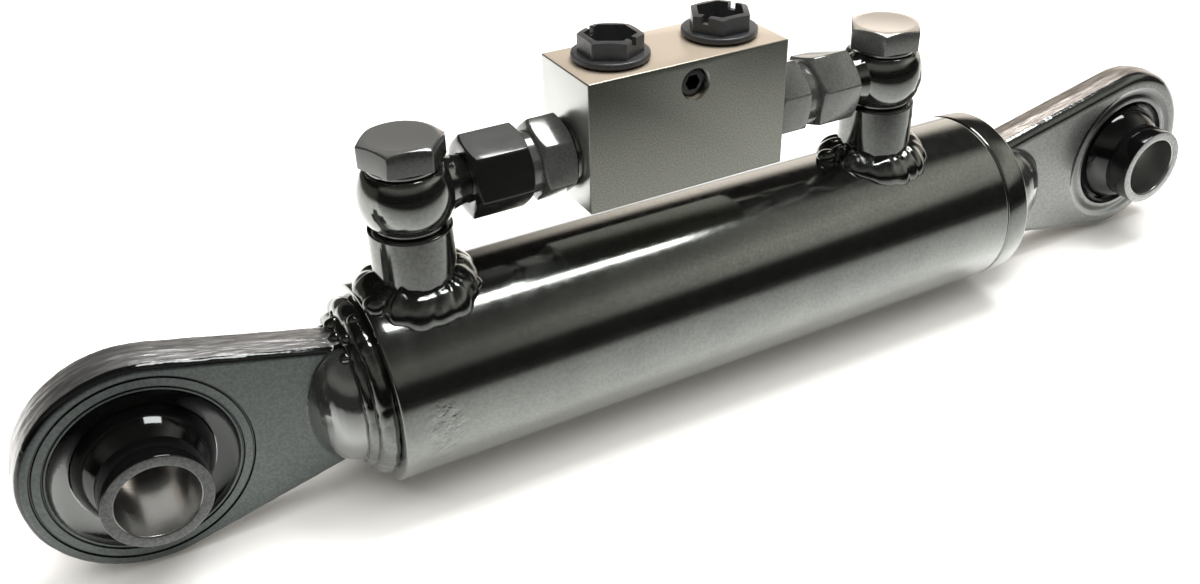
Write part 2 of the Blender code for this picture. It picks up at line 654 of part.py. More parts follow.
def make_banjo_bolt(frame, name, port_x):
    """Hexagon head and a hollow shank with a cross hole at the banjo's height."""
    place = (port_x, 0, 0)
    top = HEAD_Z + HEAD_HEIGHT
    tip = BOSS_TOP - BOLT_REACH
    shank_r = THREAD_R - SEAT
    bolt = add_object(name + "_banjo_bolt", hex_prism(HEX_AF, HEAD_Z, top, AXIS_Z, BOLT_TURN), frame,
                      GLOSS_BLACK, place)
    shape = hex_chamfer(HEX_AF, HEAD_Z, top, AXIS_Z, False)
    combine(bolt, add_tool("shape_bolt_" + name, shape, frame, place), 'INTERSECT')
    outline = [(tip, 0), (tip, shank_r - EDGE), (tip + EDGE, shank_r), (HEAD_Z + EDGE, shank_r)]
    outline += [(HEAD_Z + EDGE, 0)]
    shank = turned(outline, AXIS_Z, SMALL)
    combine(bolt, add_tool("shank_bolt_" + name, shank, frame, place), 'UNION')
    bore = rod_between(tip - OVERRUN, PORT_Z + CROSS_HOLE_R, BOLT_HOLE_R, AXIS_Z, COARSE)
    combine(bolt, add_tool("bore_bolt_" + name, bore, frame, place))
    cross = rod_between(-THREAD_R - OVERRUN, THREAD_R + OVERRUN, CROSS_HOLE_R, AXIS_X, COARSE)
    combine(bolt, add_tool("cross_bolt_" + name, cross, frame, (port_x, 0, PORT_Z)))


def make_banjo(frame, name, port_x, turn):
    """Round banjo with its pipe stem. Drawn with the stem towards +X, then turned."""
    place = (port_x, 0, PORT_Z)
    half = BANJO_HEIGHT / 2
    open_angle = asin(half / BANJO_R)
    gallery = BANJO_GALLERY / 2
    bore = THREAD_R + SEAT
    outline = [(-half, bore)] + [(along, out) for along, out in
                                 arc((0, 0), BANJO_R, pi / 2 + open_angle, pi / 2 - open_angle, BALL_PARTS)]
    outline += [(half, bore), (gallery, bore), (gallery, BANJO_GALLERY_R)]
    outline += [(-gallery, BANJO_GALLERY_R), (-gallery, bore)]
    banjo = add_object(name + "_banjo", turned(outline, AXIS_Z, MEDIUM), frame, GLOSS_BLACK, place, turn)
    root = BANJO_GALLERY_R + SEAT
    stem_bore = PASSAGE_R
    stem = turned([(root, stem_bore), (root, STEM_R), (STEM_LENGTH - EDGE, STEM_R),
                   (STEM_LENGTH, STEM_R - EDGE), (STEM_LENGTH, stem_bore)], AXIS_X, SMALL)
    combine(banjo, add_tool("stem_" + name, stem, frame, place, turn), 'UNION')
    drill = rod_between(THREAD_R, STEM_LENGTH + OVERRUN, stem_bore + SMALL_EDGE, AXIS_X, COARSE)
    combine(banjo, add_tool("drill_banjo_" + name, drill, frame, place, turn))


def make_washers(frame, name, port_x):
    levels = (("lower", BOSS_TOP + SEAT), ("upper", PORT_Z + BANJO_HEIGHT / 2 + SEAT))
    for level, low in levels:
        ring = tube_between(low, low + WASHER, THREAD_R + SEAT, WASHER_R, AXIS_Z, SMALL)
        add_object(name + "_seal_washer_" + level, ring, frame, GLOSS_BLACK, (port_x, 0, 0))


def make_union_nut(frame, name, port_x, turn):
    place = (port_x, 0, PORT_Z)
    end = NUT_START + NUT_LENGTH
    prism = hex_prism(HEX_AF, NUT_START, end, AXIS_X, NUT_TURN)
    nut = add_object(name + "_union_nut", prism, frame, GLOSS_BLACK, place, turn)
    shape = hex_chamfer(HEX_AF, NUT_START, end, AXIS_X, True)
    combine(nut, add_tool("shape_nut_" + name, shape, frame, place, turn), 'INTERSECT')
    neck = NUT_START + NUT_WALL
    back = NUT_START - OVERRUN
    thread_r = UNION_THREAD_R + SEAT
    inside = turned([(back, 0), (back, STEM_R + SEAT), (neck, STEM_R + SEAT), (neck + EDGE, thread_r),
                     (end + OVERRUN, thread_r), (end + OVERRUN, 0)], AXIS_X, SMALL)
    combine(nut, add_tool("bore_nut_" + name, inside, frame, place, turn))
    ring_start = neck + EDGE + SEAT
    ring = turned([(ring_start, STEM_R + SEAT), (ring_start, RING_R), (ring_start + RING_LENGTH / 2, RING_R),
                   (ring_start + RING_LENGTH, STEM_R + 3 * SEAT), (ring_start + RING_LENGTH, STEM_R + SEAT)],
                  AXIS_X, SMALL)
    add_object(name + "_cutting_ring", ring, frame, BRIGHT_STEEL, place, turn)


def make_adapter(frame, name, port_x, turn):
    """Stud adapter between the union nut and the block. Its socket holds the banjo's stem."""
    place = (port_x, 0, PORT_Z)
    hex_end = ADAPTER_HEX_START + ADAPTER_HEX
    prism = hex_prism(HEX_AF, ADAPTER_HEX_START, hex_end, AXIS_X, ADAPTER_TURN)
    adapter = add_object(name + "_stud_adapter", prism, frame, GLOSS_BLACK, place, turn)
    shape = hex_chamfer(HEX_AF, ADAPTER_HEX_START, hex_end, AXIS_X, True)
    combine(adapter, add_tool("shape_adapter_" + name, shape, frame, place, turn), 'INTERSECT')
    start = NUT_START + NUT_WALL + EDGE + RING_LENGTH + 3 * SEAT
    tip = BLOCK_AWAY + ADAPTER_THREAD
    stud_r = THREAD_R
    body = turned([(start, 0), (start, UNION_THREAD_R - EDGE), (start + EDGE, UNION_THREAD_R),
                   (ADAPTER_HEX_START + EDGE, UNION_THREAD_R), (ADAPTER_HEX_START + EDGE, stud_r),
                   (tip - EDGE, stud_r), (tip, stud_r - EDGE), (tip, 0)], AXIS_X, SMALL)
    combine(adapter, add_tool("body_adapter_" + name, body, frame, place, turn), 'UNION')
    socket_r = STEM_R + SEAT
    socket_end = STEM_LENGTH + SEAT
    inside = turned([(start - OVERRUN, 0), (start - OVERRUN, socket_r), (socket_end, socket_r),
                     (socket_end, ADAPTER_BORE_R), (tip + OVERRUN, ADAPTER_BORE_R), (tip + OVERRUN, 0)],
                    AXIS_X, SMALL)
    combine(adapter, add_tool("bore_adapter_" + name, inside, frame, place, turn))
    seal = tube_between(BLOCK_AWAY - SEAT - ADAPTER_SEAL, BLOCK_AWAY - SEAT, stud_r + SEAT, WASHER_R,
                        AXIS_X, SMALL)
    add_object(name + "_adapter_seal", seal, frame, GLOSS_BLACK, place, turn)


def make_block(frame):
    """Valve block with its through bore, two end ports, two top ports and a front drilling."""
    half = BLOCK_LENGTH / 2
    depth = BLOCK_DEPTH / 2
    centre = (BLOCK_X, 0, 0)
    solid = box((-half, -depth, BLOCK_LOW_Z), (half, depth, BLOCK_TOP_Z))
    block = add_object("valve_block", solid, frame, GLOSS_BLACK, centre)
    chamfer_edges(block, EDGE)
    port_end = ADAPTER_TIP_AWAY - SEAT
    reach = half + OVERRUN
    port_r = THREAD_R + SEAT
    bore = turned([(-reach, 0), (-reach, port_r), (-port_end, port_r), (-port_end, VALVE_BORE_R),
                   (port_end, VALVE_BORE_R), (port_end, port_r), (reach, port_r), (reach, 0)],
                  AXIS_X, SMALL)
    combine(block, add_tool("bore_block", bore, frame, (BLOCK_X, 0, PORT_Z)))
    for name, side in (("base", -1), ("rod", 1)):
        floor = BLOCK_TOP_Z - TOP_PORT_DEEP
        port = rod_between(floor, BLOCK_TOP_Z + OVERRUN, TOP_PORT_R, AXIS_Z, SMALL)
        port_x = BLOCK_X + side * TOP_PORT_APART / 2
        combine(block, add_tool("port_block_" + name, port, frame, (port_x, 0, 0)))
        drill = rod_between(PORT_Z, floor + OVERRUN, CROSS_DRILL_R, AXIS_Z, COARSE)
        drill_x = BLOCK_X + side * (SEAT_RING_AWAY - CROSS_DRILL_INBOARD)
        combine(block, add_tool("drill_block_" + name, drill, frame, (drill_x, 0, 0)))
    front = rod_between(-depth - OVERRUN, -depth + FRONT_DRILL_DEEP, FRONT_DRILL_R, AXIS_Y, COARSE)
    front_place = (BLOCK_X + FRONT_DRILL_X, 0, BLOCK_TOP_Z - FRONT_DRILL_DOWN)
    combine(block, add_tool("front_block", front, frame, front_place))


def make_front_screw(frame):
    place = (BLOCK_X + FRONT_DRILL_X, 0, BLOCK_TOP_Z - FRONT_DRILL_DOWN)
    mouth = -BLOCK_DEPTH / 2 + SCREW_SINK
    radius = FRONT_DRILL_R - SEAT
    outline = [(mouth, 0), (mouth, radius - SMALL_EDGE), (mouth + SMALL_EDGE, radius)]
    outline += [(mouth + SCREW_LENGTH, radius), (mouth + SCREW_LENGTH, 0)]
    screw = add_object("front_plug_screw", turned(outline, AXIS_Y, COARSE), frame, GLOSS_BLACK, place)
    corner = SCREW_SOCKET_AF / sqrt(3)
    rings = [[(corner * cos(tau * side / 6), y, corner * sin(tau * side / 6)) for side in range(6)]
             for y in (mouth - OVERRUN, mouth + SCREW_SOCKET)]
    combine(screw, add_tool("socket_front_screw", lofted(rings), frame, place))


def make_port_plug(frame, name, side):
    """Plastic shipping plug: shank, flange and a hollow notched hexagon."""
    place = (BLOCK_X + side * TOP_PORT_APART / 2, 0, BLOCK_TOP_Z + SEAT)
    top = PLUG_FLANGE + PLUG_HEX
    shank_r = TOP_PORT_R - SEAT
    outline = [(-PLUG_SHANK, 0), (-PLUG_SHANK, shank_r - EDGE), (-PLUG_SHANK + EDGE, shank_r), (0, shank_r)]
    outline += [(0, PLUG_FLANGE_R), (PLUG_FLANGE / 2, PLUG_FLANGE_R), (PLUG_FLANGE, PLUG_FLANGE_R - EDGE)]
    outline += [(PLUG_FLANGE, 0)]
    plug = add_object(name + "_port_plug", turned(outline, AXIS_Z, SMALL), frame, DARK_PLASTIC, place)
    head = hex_prism(PLUG_HEX_AF, PLUG_FLANGE - SMALL_EDGE, top, AXIS_Z, PLUG_TURN)
    combine(plug, add_tool("hex_plug_" + name, head, frame, place), 'UNION')
    pocket = rod_between(top - PLUG_POCKET, top + OVERRUN, PLUG_POCKET_R, AXIS_Z, COARSE)
    combine(plug, add_tool("pocket_plug_" + name, pocket, frame, place))
    half = PLUG_NOTCH / 2
    slot = box((-PLUG_HEX_AF, -half, top - PLUG_NOTCH_DEEP), (PLUG_HEX_AF, half, top + OVERRUN))
    combine(plug, add_tool("notch_plug_" + name, slot, frame, place, NOTCH_TURN))


def make_check(frame, name, side):
    """Seat ring, poppet and spring on one side of the valve's bore. Drawn towards +X."""
    turn = 0 if side > 0 else pi
    place = (BLOCK_X, 0, PORT_Z)
    seat_end = SEAT_RING_AWAY + SEAT_RING
    ring = turned([(SEAT_RING_AWAY, SEAT_HOLE_R), (SEAT_RING_AWAY, VALVE_BORE_R - SEAT),
                   (seat_end, VALVE_BORE_R - SEAT), (seat_end, SEAT_HOLE_R + EDGE),
                   (seat_end - EDGE, SEAT_HOLE_R)], AXIS_X, COARSE)
    add_object(name + "_valve_seat", ring, frame, BRIGHT_STEEL, place, turn)
    nose = seat_end - EDGE
    back = nose + POPPET_NOSE + POPPET_LENGTH
    body_r = VALVE_BORE_R - 2 * SEAT
    poppet = turned([(nose, 0), (nose, SEAT_HOLE_R - 2 * SEAT), (nose + EDGE, SEAT_HOLE_R - 2 * SEAT),
                     (nose + EDGE + POPPET_NOSE, body_r), (back, body_r), (back, POPPET_POCKET_R),
                     (back - POPPET_POCKET, POPPET_POCKET_R), (back - POPPET_POCKET, 0)],
                    AXIS_X, COARSE)
    add_object(name + "_check_poppet", poppet, frame, BRIGHT_STEEL, place, turn)
    low = back - POPPET_POCKET + SEAT + SPRING_WIRE_R
    high = ADAPTER_TIP_AWAY - SEAT - SPRING_WIRE_R
    add_object(name + "_poppet_spring", coil(low, high), frame, BRIGHT_STEEL, place, turn)


def coil(low, high):
    """A compression spring along X with closed wire ends."""
    parts = COIL_PARTS * SPRING_TURNS
    rings = []
    for step in range(parts + 1):
        share = step / parts
        angle = tau * SPRING_TURNS * share
        along = low + (high - low) * share
        ring = []
        for side in range(COIL_SIDES):
            lean = tau * side / COIL_SIDES
            out = SPRING_R + SPRING_WIRE_R * cos(lean)
            ring.append((along + SPRING_WIRE_R * sin(lean), out * cos(angle), out * sin(angle)))
        rings.append(ring)
    return lofted(rings)


def make_pilot_spool(frame):
    """Spool with a pin each side that lifts the opposite poppet off its seat."""
    half = SPOOL_BODY / 2
    gap = SEAT + SPOOL_FREE
    tip = SEAT_RING_AWAY + SEAT_RING - EDGE - gap
    body_r = VALVE_BORE_R - SEAT
    outline = [(-tip, 0), (-tip, SPOOL_PIN_R), (-half, SPOOL_PIN_R), (-half, body_r - SMALL_EDGE)]
    outline += [(-half + SMALL_EDGE, body_r), (half - SMALL_EDGE, body_r), (half, body_r - SMALL_EDGE)]
    outline += [(half, SPOOL_PIN_R), (tip, SPOOL_PIN_R), (tip, 0)]
    add_object("pilot_spool", turned(outline, AXIS_X, COARSE), frame, BRIGHT_STEEL, (BLOCK_X, 0, PORT_Z))


def make_port_side(frame, name, port_x, turn):
    make_port_boss(frame, name, port_x)
    make_banjo_bolt(frame, name, port_x)
    make_washers(frame, name, port_x)
    make_banjo(frame, name, port_x, turn)
    make_union_nut(frame, name, port_x, turn)
    make_adapter(frame, name, port_x, turn)


def main():
    clear_scene()
    frame = add_empty("link_frame", FRAME_SHIFT)
    slide = add_empty("rod_slide_axis", (0, 0, 0), frame)
    make_barrel(frame)
    make_base_cap(frame)
    make_base_eye(frame)
    make_ball("base_ball", frame, (BASE_EYE_X, 0, 0))
    make_gland(frame)
    make_rod(slide)
    make_piston(slide)
    make_piston_nut(slide)
    make_rod_eye(slide)
    make_ball("rod_ball", slide, (ROD_EYE_X, 0, 0))
    make_port_side(frame, "base", PORT_BASE_X, 0)
    make_port_side(frame, "rod", PORT_ROD_X, pi)
    make_block(frame)
    make_front_screw(frame)
    make_pilot_spool(frame)
    for name, side in (("base", -1), ("rod", 1)):
        make_port_plug(frame, name, side)
        make_check(frame, name, side)


main()
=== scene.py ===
"""Looks of the hydraulic tractor top link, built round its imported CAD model.

Each piece that shows is built again with fine turning, fillets, forged skin and weld ripples, in
the place of its CAD node. Sizes are in metres, and X runs along the barrel from the base eye to
the rod eye. Hidden inner pieces keep their CAD meshes and get finished materials.
"""

import json
from math import acos, asin, atan2, cos, hypot, pi, radians, sin, sqrt, tau

import bmesh
import bpy
from mathutils import Euler, Matrix, Vector, noise


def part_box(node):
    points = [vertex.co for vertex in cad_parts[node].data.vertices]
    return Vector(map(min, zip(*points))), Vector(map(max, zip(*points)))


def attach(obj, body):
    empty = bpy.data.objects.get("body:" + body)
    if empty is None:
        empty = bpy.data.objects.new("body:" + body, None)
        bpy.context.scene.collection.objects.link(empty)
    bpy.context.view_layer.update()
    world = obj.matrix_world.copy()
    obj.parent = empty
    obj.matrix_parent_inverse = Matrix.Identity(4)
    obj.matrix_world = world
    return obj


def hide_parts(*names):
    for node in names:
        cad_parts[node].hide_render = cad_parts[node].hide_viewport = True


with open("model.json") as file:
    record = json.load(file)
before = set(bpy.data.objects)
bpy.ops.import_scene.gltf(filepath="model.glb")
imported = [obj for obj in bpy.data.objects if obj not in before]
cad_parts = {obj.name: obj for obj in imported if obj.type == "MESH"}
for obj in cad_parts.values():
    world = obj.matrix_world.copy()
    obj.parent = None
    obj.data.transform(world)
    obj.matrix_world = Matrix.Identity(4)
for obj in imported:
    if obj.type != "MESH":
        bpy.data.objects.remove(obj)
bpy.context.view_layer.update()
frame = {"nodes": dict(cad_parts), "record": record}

MM = 0.001
RECORD = frame["record"]
BODY_OF = {node: body for body, nodes in RECORD["behaviour"]["bodies"].items() for node in nodes}
SLOT_OF = {row["node"]: row["material_slot"] for row in RECORD["subparts"]}

# Facets and fillets
TURN_FINE = 160
TURN = 96
TURN_SMALL = 64
FILLET_PARTS = 3
SMOOTH_ANGLE = radians(34)
FORGED_ANGLE = radians(42)
WELD_ANGLE = radians(60)
MERGE = 0.001 * MM
OVERRUN = 3 * MM
SEAT = 0.3 * MM

# Eyes and balls
EYE_THICK = 16.5 * MM
EYE_EDGE = 2.4 * MM
ROD_EYE_EDGE = 4.6 * MM
EYE_CROWN = 0.45 * MM
NECK_HALF = 22 * MM
BALL_R = 22.5 * MM
BALL_WIDTH = 51 * MM
PIN_BORE_R = 12.7 * MM
COLLAR_R = 16.7 * MM
RACE_LIP = 5.2 * MM
SKIN_VOXEL = 0.55 * MM

AXIS_X = (1, 0, 0)
AXIS_Y = (0, 1, 0)
AXIS_Z = (0, 0, 1)


def centre_of(node):
    low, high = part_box(node)
    return (low + high) / 2


BARREL_LOW, BARREL_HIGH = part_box("barrel_tube")
AXIS_HEIGHT = (BARREL_LOW.z + BARREL_HIGH.z) / 2
BARREL_R = (BARREL_HIGH.z - BARREL_LOW.z) / 2
BASE_RIM_X = BARREL_LOW.x
BASE_PIN = centre_of("base_ball")
ROD_PIN = centre_of("rod_ball")
BLOCK_LOW, BLOCK_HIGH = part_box("valve_block")
GLAND_LOW, GLAND_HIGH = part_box("gland")
PORTS = (("base", 1), ("rod", -1))

# Barrel, rod and ports
WALL = 5 * MM
ROD_R = 17.5 * MM
THREAD_R = 8.3 * MM


def port_x(name):
    return centre_of(name + "_port_boss").x


def port_z(name):
    return centre_of(name + "_union_nut").z


# Mesh helpers


def fillet(points, radius):
    """An outline with its corners rounded. A point may carry its own radius as a third value.

    An outline that starts on the axis also ends there, and both of those points stay.
    """
    count = len(points)
    ends = () if points[0][1] > 0 else (0, count - 1)
    made = []
    for here in range(count):
        along, out = points[here][:2]
        own = points[here][2] if len(points[here]) > 2 else radius
        if own <= 0 or here in ends:
            made.append((along, out))
            continue
        corner = Vector((along, out))
        before = Vector(points[here - 1][:2]) - corner
        after = Vector(points[(here + 1) % count][:2]) - corner
        cut = min(own, before.length * 0.48, after.length * 0.48)
        start = corner + before.normalized() * cut
        end = corner + after.normalized() * cut
        for step in range(FILLET_PARTS + 1):
            share = step / FILLET_PARTS
            point = start * (1 - share) ** 2 + corner * 2 * share * (1 - share) + end * share ** 2
            made.append((point.x, point.y))
    return made


def arc(centre, radius, start, end, parts):
    """Points on an arc, as (along, radius) pairs. Angles run from the axis direction."""
    along, out = centre
    angles = [start + (end - start) * step / parts for step in range(parts + 1)]
    return [(along + radius * cos(angle), out + radius * sin(angle)) for angle in angles]


def section_point(axis, along, radius):
    if axis == AXIS_X:
        return (along, 0, radius)
    if axis == AXIS_Y:
        return (radius, along, 0)
    return (radius, 0, along)


def skinned(rings, closed=False):
    """Faces between rings of equal length. closed joins the last ring to the first."""
    bm = bmesh.new()
    loops = [[bm.verts.new(point) for point in ring] for ring in rings]
    for low, high in zip(loops, loops[1:] + (loops[:1] if closed else [])):
        for here in range(len(low)):
            after = (here + 1) % len(low)
            if len({low[here], low[after], high[after], high[here]}) == 4:
                bm.faces.new((low[here], low[after], high[after], high[here]))
    if not closed:
        bm.faces.new(loops[0])
        bm.faces.new(loops[-1])
    return bm


def make_object(name, bm, place=(0, 0, 0), turn=0):
    bmesh.ops.recalc_face_normals(bm, faces=bm.faces)
    mesh = bpy.data.meshes.new(name)
    bm.to_mesh(mesh)
    bm.free()
    piece = bpy.data.objects.new(name, mesh)
    bpy.context.scene.collection.objects.link(piece)
    piece.location = place
    piece.rotation_euler = (0, 0, turn)
    return piece


def lathe(name, outline, axis, steps, place=(0, 0, 0), turn=0, radius=0):
    """A turned piece: a full body if its outline starts on the axis, or else a ring."""
    bm = bmesh.new()
    verts = [bm.verts.new(section_point(axis, *point)) for point in fillet(outline, radius)]
    ends = verts[1:] + (verts[:1] if outline[0][1] > 0 else [])
    edges = [bm.edges.new(pair) for pair in zip(verts, ends)]
    bmesh.ops.spin(bm, geom=verts + edges, cent=(0, 0, 0), axis=axis, angle=tau, steps=steps,
                   use_merge=True, use_duplicate=False)
    bmesh.ops.remove_doubles(bm, verts=bm.verts, dist=MERGE)
    return make_object(name, bm, place, turn)


def settle(piece):
    """Turns the piece's modifiers into its mesh."""
    bpy.context.view_layer.update()
    graph = bpy.context.evaluated_depsgraph_get()
    made = bpy.data.meshes.new_from_object(piece.evaluated_get(graph))
    piece.modifiers.clear()
    piece.data = made


def cut(piece, tool, operation='DIFFERENCE', solver='EXACT'):
    """Takes the tool out of the piece, or adds it, and removes the tool."""
    step = piece.modifiers.new("cut", 'BOOLEAN')
    step.operation = operation
    step.solver = solver
    step.object = tool
    settle(piece)
    bpy.data.objects.remove(tool, do_unlink=True)


def soften(piece, width, segments=2, angle=radians(28)):
    bevel = piece.modifiers.new("edges", 'BEVEL')
    bevel.width = width
    bevel.segments = segments
    bevel.limit_method = 'ANGLE'
    bevel.angle_limit = angle
    settle(piece)


def extra(piece, node, finish, angle=WELD_ANGLE):
    """A further piece on the same body as the node, with the given finish."""
    piece.data.shade_smooth()
    piece.data.set_sharp_from_angle(angle=angle)
    piece.data.materials.clear()
    piece.data.materials.append(KIT[finish])
    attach(piece, BODY_OF[node])


def stand_in(piece, node, finish, angle=SMOOTH_ANGLE):
    """The piece takes the node's place and body, with the given finish."""
    extra(piece, node, finish, angle)
    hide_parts(node)


# Hexagons

HEX_CORNER = 0.9 * MM
HEX_CORNER_PARTS = 4
HEX_FLAT_PARTS = 6
HEX_CONE = 0.6 * MM
DISH_EDGE = 1.2 * MM


def between(first, last, parts):
    return [first.lerp(last, step / parts) for step in range(1, parts)]


def hex_outline(af, turn):
    """Points round a hexagon whose corners are rounded."""
    inner = (af / 2 - HEX_CORNER) / cos(pi / 6)
    points = []
    for side in range(6):
        middle = turn + side * tau / 6
        centre = Vector((inner * cos(middle), inner * sin(middle)))
        swing = [middle - pi / 6 + pi / 3 * step / HEX_CORNER_PARTS
                 for step in range(HEX_CORNER_PARTS + 1)]
        corner = [centre + HEX_CORNER * Vector((cos(angle), sin(angle))) for angle in swing]
        if points:
            points += between(points[-1], corner[0], HEX_FLAT_PARTS)
        points += corner
    return points + between(points[-1], points[0], HEX_FLAT_PARTS)


def hexagon(af, low, high, axis, turn, bore=0, slope=0.5, low_chamfer=True, dish=0):
    """A hexagon with coned ends whose edge with each flat is the true curve."""
    face = af / 2 - HEX_CONE
    outline = hex_outline(af, turn)

    def ring(radius, level):
        return [(point.normalized() * radius, level) for point in outline]

    def coned(level, slope):
        return [(point, level - max(point.length - face, 0) * slope) for point in outline]

    low_slope = -slope if low_chamfer else 0
    rows = [ring(face, low), coned(low, low_slope), coned(high, slope), ring(face, high)]
    if dish:
        rows += [ring(face - DISH_EDGE, high), ring(face - 2 * DISH_EDGE, high - dish)]
    if bore:
        rows += [ring(bore, high), ring(bore, low)]

    def spot(flat, level):
        if axis == AXIS_X:
            return (level, flat.x, flat.y)
        return (flat.x, flat.y, level)

    rings = [[spot(flat, level) for flat, level in row] for row in rows]
    return skinned(rings, closed=bool(bore))


# Welds


def weld_bead(frame_at, radius, steps, sides, ripples, depth, lumps, seed, flat=0):
    """A closed bead of overlapping ripples. frame_at gives the bead's centre, out and up.

    flat takes that share off the side that looks up and out, as on a fillet weld.
    """
    rings = []
    for step in range(steps):
        angle = tau * step / steps
        middle, out, up = frame_at(angle)
        spot = Vector((cos(angle), sin(angle), seed))
        swell = 1 + lumps * noise.noise(spot * 1.6) + lumps * 0.6 * noise.noise(spot * 4.1)
        ring = []
        for side in range(sides):
            lean = tau * side / sides
            wave = abs(sin(ripples * angle / 2 + 0.9 * cos(lean) + 2.2 * noise.noise(spot * 2.3)))
            fine = noise.noise(Vector((cos(angle) * 5, sin(angle) * 5, seed + lean)))
            size = radius * swell * (1 + depth * (wave ** 0.8 - 0.7) + 0.06 * fine)
            size *= 1 - flat * max(cos(lean - pi / 4), 0) ** 2
            ring.append(middle + out * (size * cos(lean)) + up * (size * sin(lean)))
        rings.append(ring)
    return skinned(rings, closed=True)


WALL_MIDDLE = BARREL_R - WALL / 2


def stay_in_wall(bm, axis_height):
    """Weld that would reach through the barrel's wall into its bore ends in the wall."""
    for vert in bm.verts:
        out = hypot(vert.co.y, vert.co.z - axis_height)
        if out < WALL_MIDDLE:
            more = WALL_MIDDLE / out
            vert.co.y *= more
            vert.co.z = axis_height + (vert.co.z - axis_height) * more


def weld_blobs(name, node, spots):
    """Lumps where beads meet. Each spot is a place and a radius."""
    bm = bmesh.new()
    for place, radius in spots:
        made = bmesh.ops.create_icosphere(bm, subdivisions=4, radius=radius)
        for vert in made["verts"]:
            swell = 1 + 0.25 * noise.noise(vert.co / (radius * 1.6) + place * 90)
            vert.co = place + vert.co * swell
    if node != "base_eye":
        stay_in_wall(bm, AXIS_HEIGHT)
    extra(make_object(name, bm), node, "boss_paint")


# Materials


class Nodes:
    """A node tree and short ways to fill it."""

    def __init__(self, tree):
        self.tree = tree

    def feed(self, socket, value):
        """Links a socket to another one, or sets its constant."""
        if isinstance(value, bpy.types.NodeSocket):
            self.tree.links.new(value, socket)
        else:
            socket.default_value = value

    def fill(self, node, inputs):
        for key, value in inputs.items():
            self.feed(node.inputs[key.replace("_", " ")], value)

    def add(self, kind, settings=None, **inputs):
        node = self.tree.nodes.new(kind)
        for key, value in (settings or {}).items():
            setattr(node, key, value)
        self.fill(node, inputs)
        return node

    def split(self, vector):
        return self.add("ShaderNodeSeparateXYZ", Vector=vector).outputs

    def ranged(self, value, low, high, new_low, new_high, kind='LINEAR'):
        return self.add("ShaderNodeMapRange", {"interpolation_type": kind}, Value=value, From_Min=low,
                        From_Max=high, To_Min=new_low, To_Max=new_high).outputs["Result"]

    def step(self, value, low, high):
        """0 below low and 1 above high, with a soft change between."""
        return self.ranged(value, low, high, 0, 1, 'SMOOTHSTEP')

    def levels(self, value, stops):
        """Grey levels against a value, given as (value, level) stops."""
        ramp = self.add("ShaderNodeValToRGB", Fac=value)
        elements = ramp.color_ramp.elements
        while len(elements) < len(stops):
            elements.new(0.5)
        for element, (place, level) in zip(elements, stops):
            element.position = place
            element.color = (level, level, level, 1)
        return ramp.outputs["Color"]

    def tinted(self, colour, factor, tint):
        """A colour times a factor and a tint."""
        scaled = self.add("ShaderNodeVectorMath", {"operation": 'SCALE'}, Vector=colour, Scale=factor)
        toned = self.add("ShaderNodeVectorMath", {"operation": 'MULTIPLY'}, Vector=scaled.outputs[0])
        toned.inputs[1].default_value = tint
        return toned.outputs[0]


class Finish(Nodes):
    """A Principled material with object coordinates at hand."""

    def __init__(self, name, colour, roughness, metallic=0.0, **constants):
        self.name = name
        self.material = bpy.data.materials.new(name)
        self.material.use_nodes = True
        super().__init__(self.material.node_tree)
        self.shader = self.tree.nodes["Principled BSDF"]
        self.surface(Base_Color=(*colour, 1), Roughness=roughness, Metallic=metallic, **constants)
        place = self.add("ShaderNodeTexCoord").outputs
        self.coords, self.normal = place["Object"], place["Normal"]
        self.bumps = None

    def stretch(self, scale, offset=(0, 0, 0)):
        node = self.add("ShaderNodeMapping", Vector=self.coords, Scale=scale, Location=offset)
        return node.outputs["Vector"]

    def grain(self, size, detail=3.0, rough=0.55, vector=None):
        """Noise whose features are about size across, from 0 to 1."""
        node = self.add("ShaderNodeTexNoise", Vector=vector or self.coords, Scale=1 / size,
                        Detail=detail, Roughness=rough)
        return node.outputs["Fac"]

    def math(self, operation, first, second=0.0):
        node = self.add("ShaderNodeMath", {"operation": operation})
        self.feed(node.inputs[0], first)
        self.feed(node.inputs[1], second)
        return node.outputs[0]

    def times(self, first, second):
        return self.math('MULTIPLY', first, second)

    def plus(self, first, second):
        return self.math('ADD', first, second)

    def rest(self, value):
        return self.math('SUBTRACT', 1, value)

    def away(self, weights, centre=(0, 0, 0)):
        """Distance from a point, or from an axis where a weight is 0."""
        shift = tuple(-number * weight for number, weight in zip(centre, weights))
        moved = self.stretch(weights, shift)
        return self.add("ShaderNodeVectorMath", {"operation": 'LENGTH'}, Vector=moved).outputs["Value"]

    def mixed(self, factor, first, second):
        """Blends two colours, each a tuple or a socket."""
        node = self.add("ShaderNodeMix", {"data_type": 'RGBA'}, Factor=factor)
        for socket, value in zip((node.inputs[6], node.inputs[7]), (first, second)):
            self.feed(socket, (*value, 1) if isinstance(value, tuple) else value)
        return node.outputs[2]

    def blotched(self, value, first, second):
        """One colour where the noise is low and the other where it is high."""
        return self.mixed(self.step(value, *PATCHES), first, second)

    def speckled(self, value, colour, less, more):
        """The colour times less where the noise is low and times more where it is high."""
        return self.blotched(value, shaded(colour, less), shaded(colour, more))

    def surface(self, **inputs):
        self.fill(self.shader, inputs)

    def uneven(self, value, low, high):
        """A roughness that follows a noise between low and high."""
        self.surface(Roughness=self.ranged(value, *SHINE, low, high))

    def bump(self, height, depth, strength=1.0):
        """Adds a bump whose full height is depth."""
        node = self.add("ShaderNodeBump", Height=height, Distance=depth, Strength=strength)
        if self.bumps:
            self.feed(node.inputs["Normal"], self.bumps)
        self.bumps = node.outputs["Normal"]
        self.surface(Normal=self.bumps)

    def colours(self, value, first, second):
        self.surface(Base_Color=self.mixed(value, first, second))


def shaded(colour, share):
    return tuple(share * level for level in colour)


# Tones

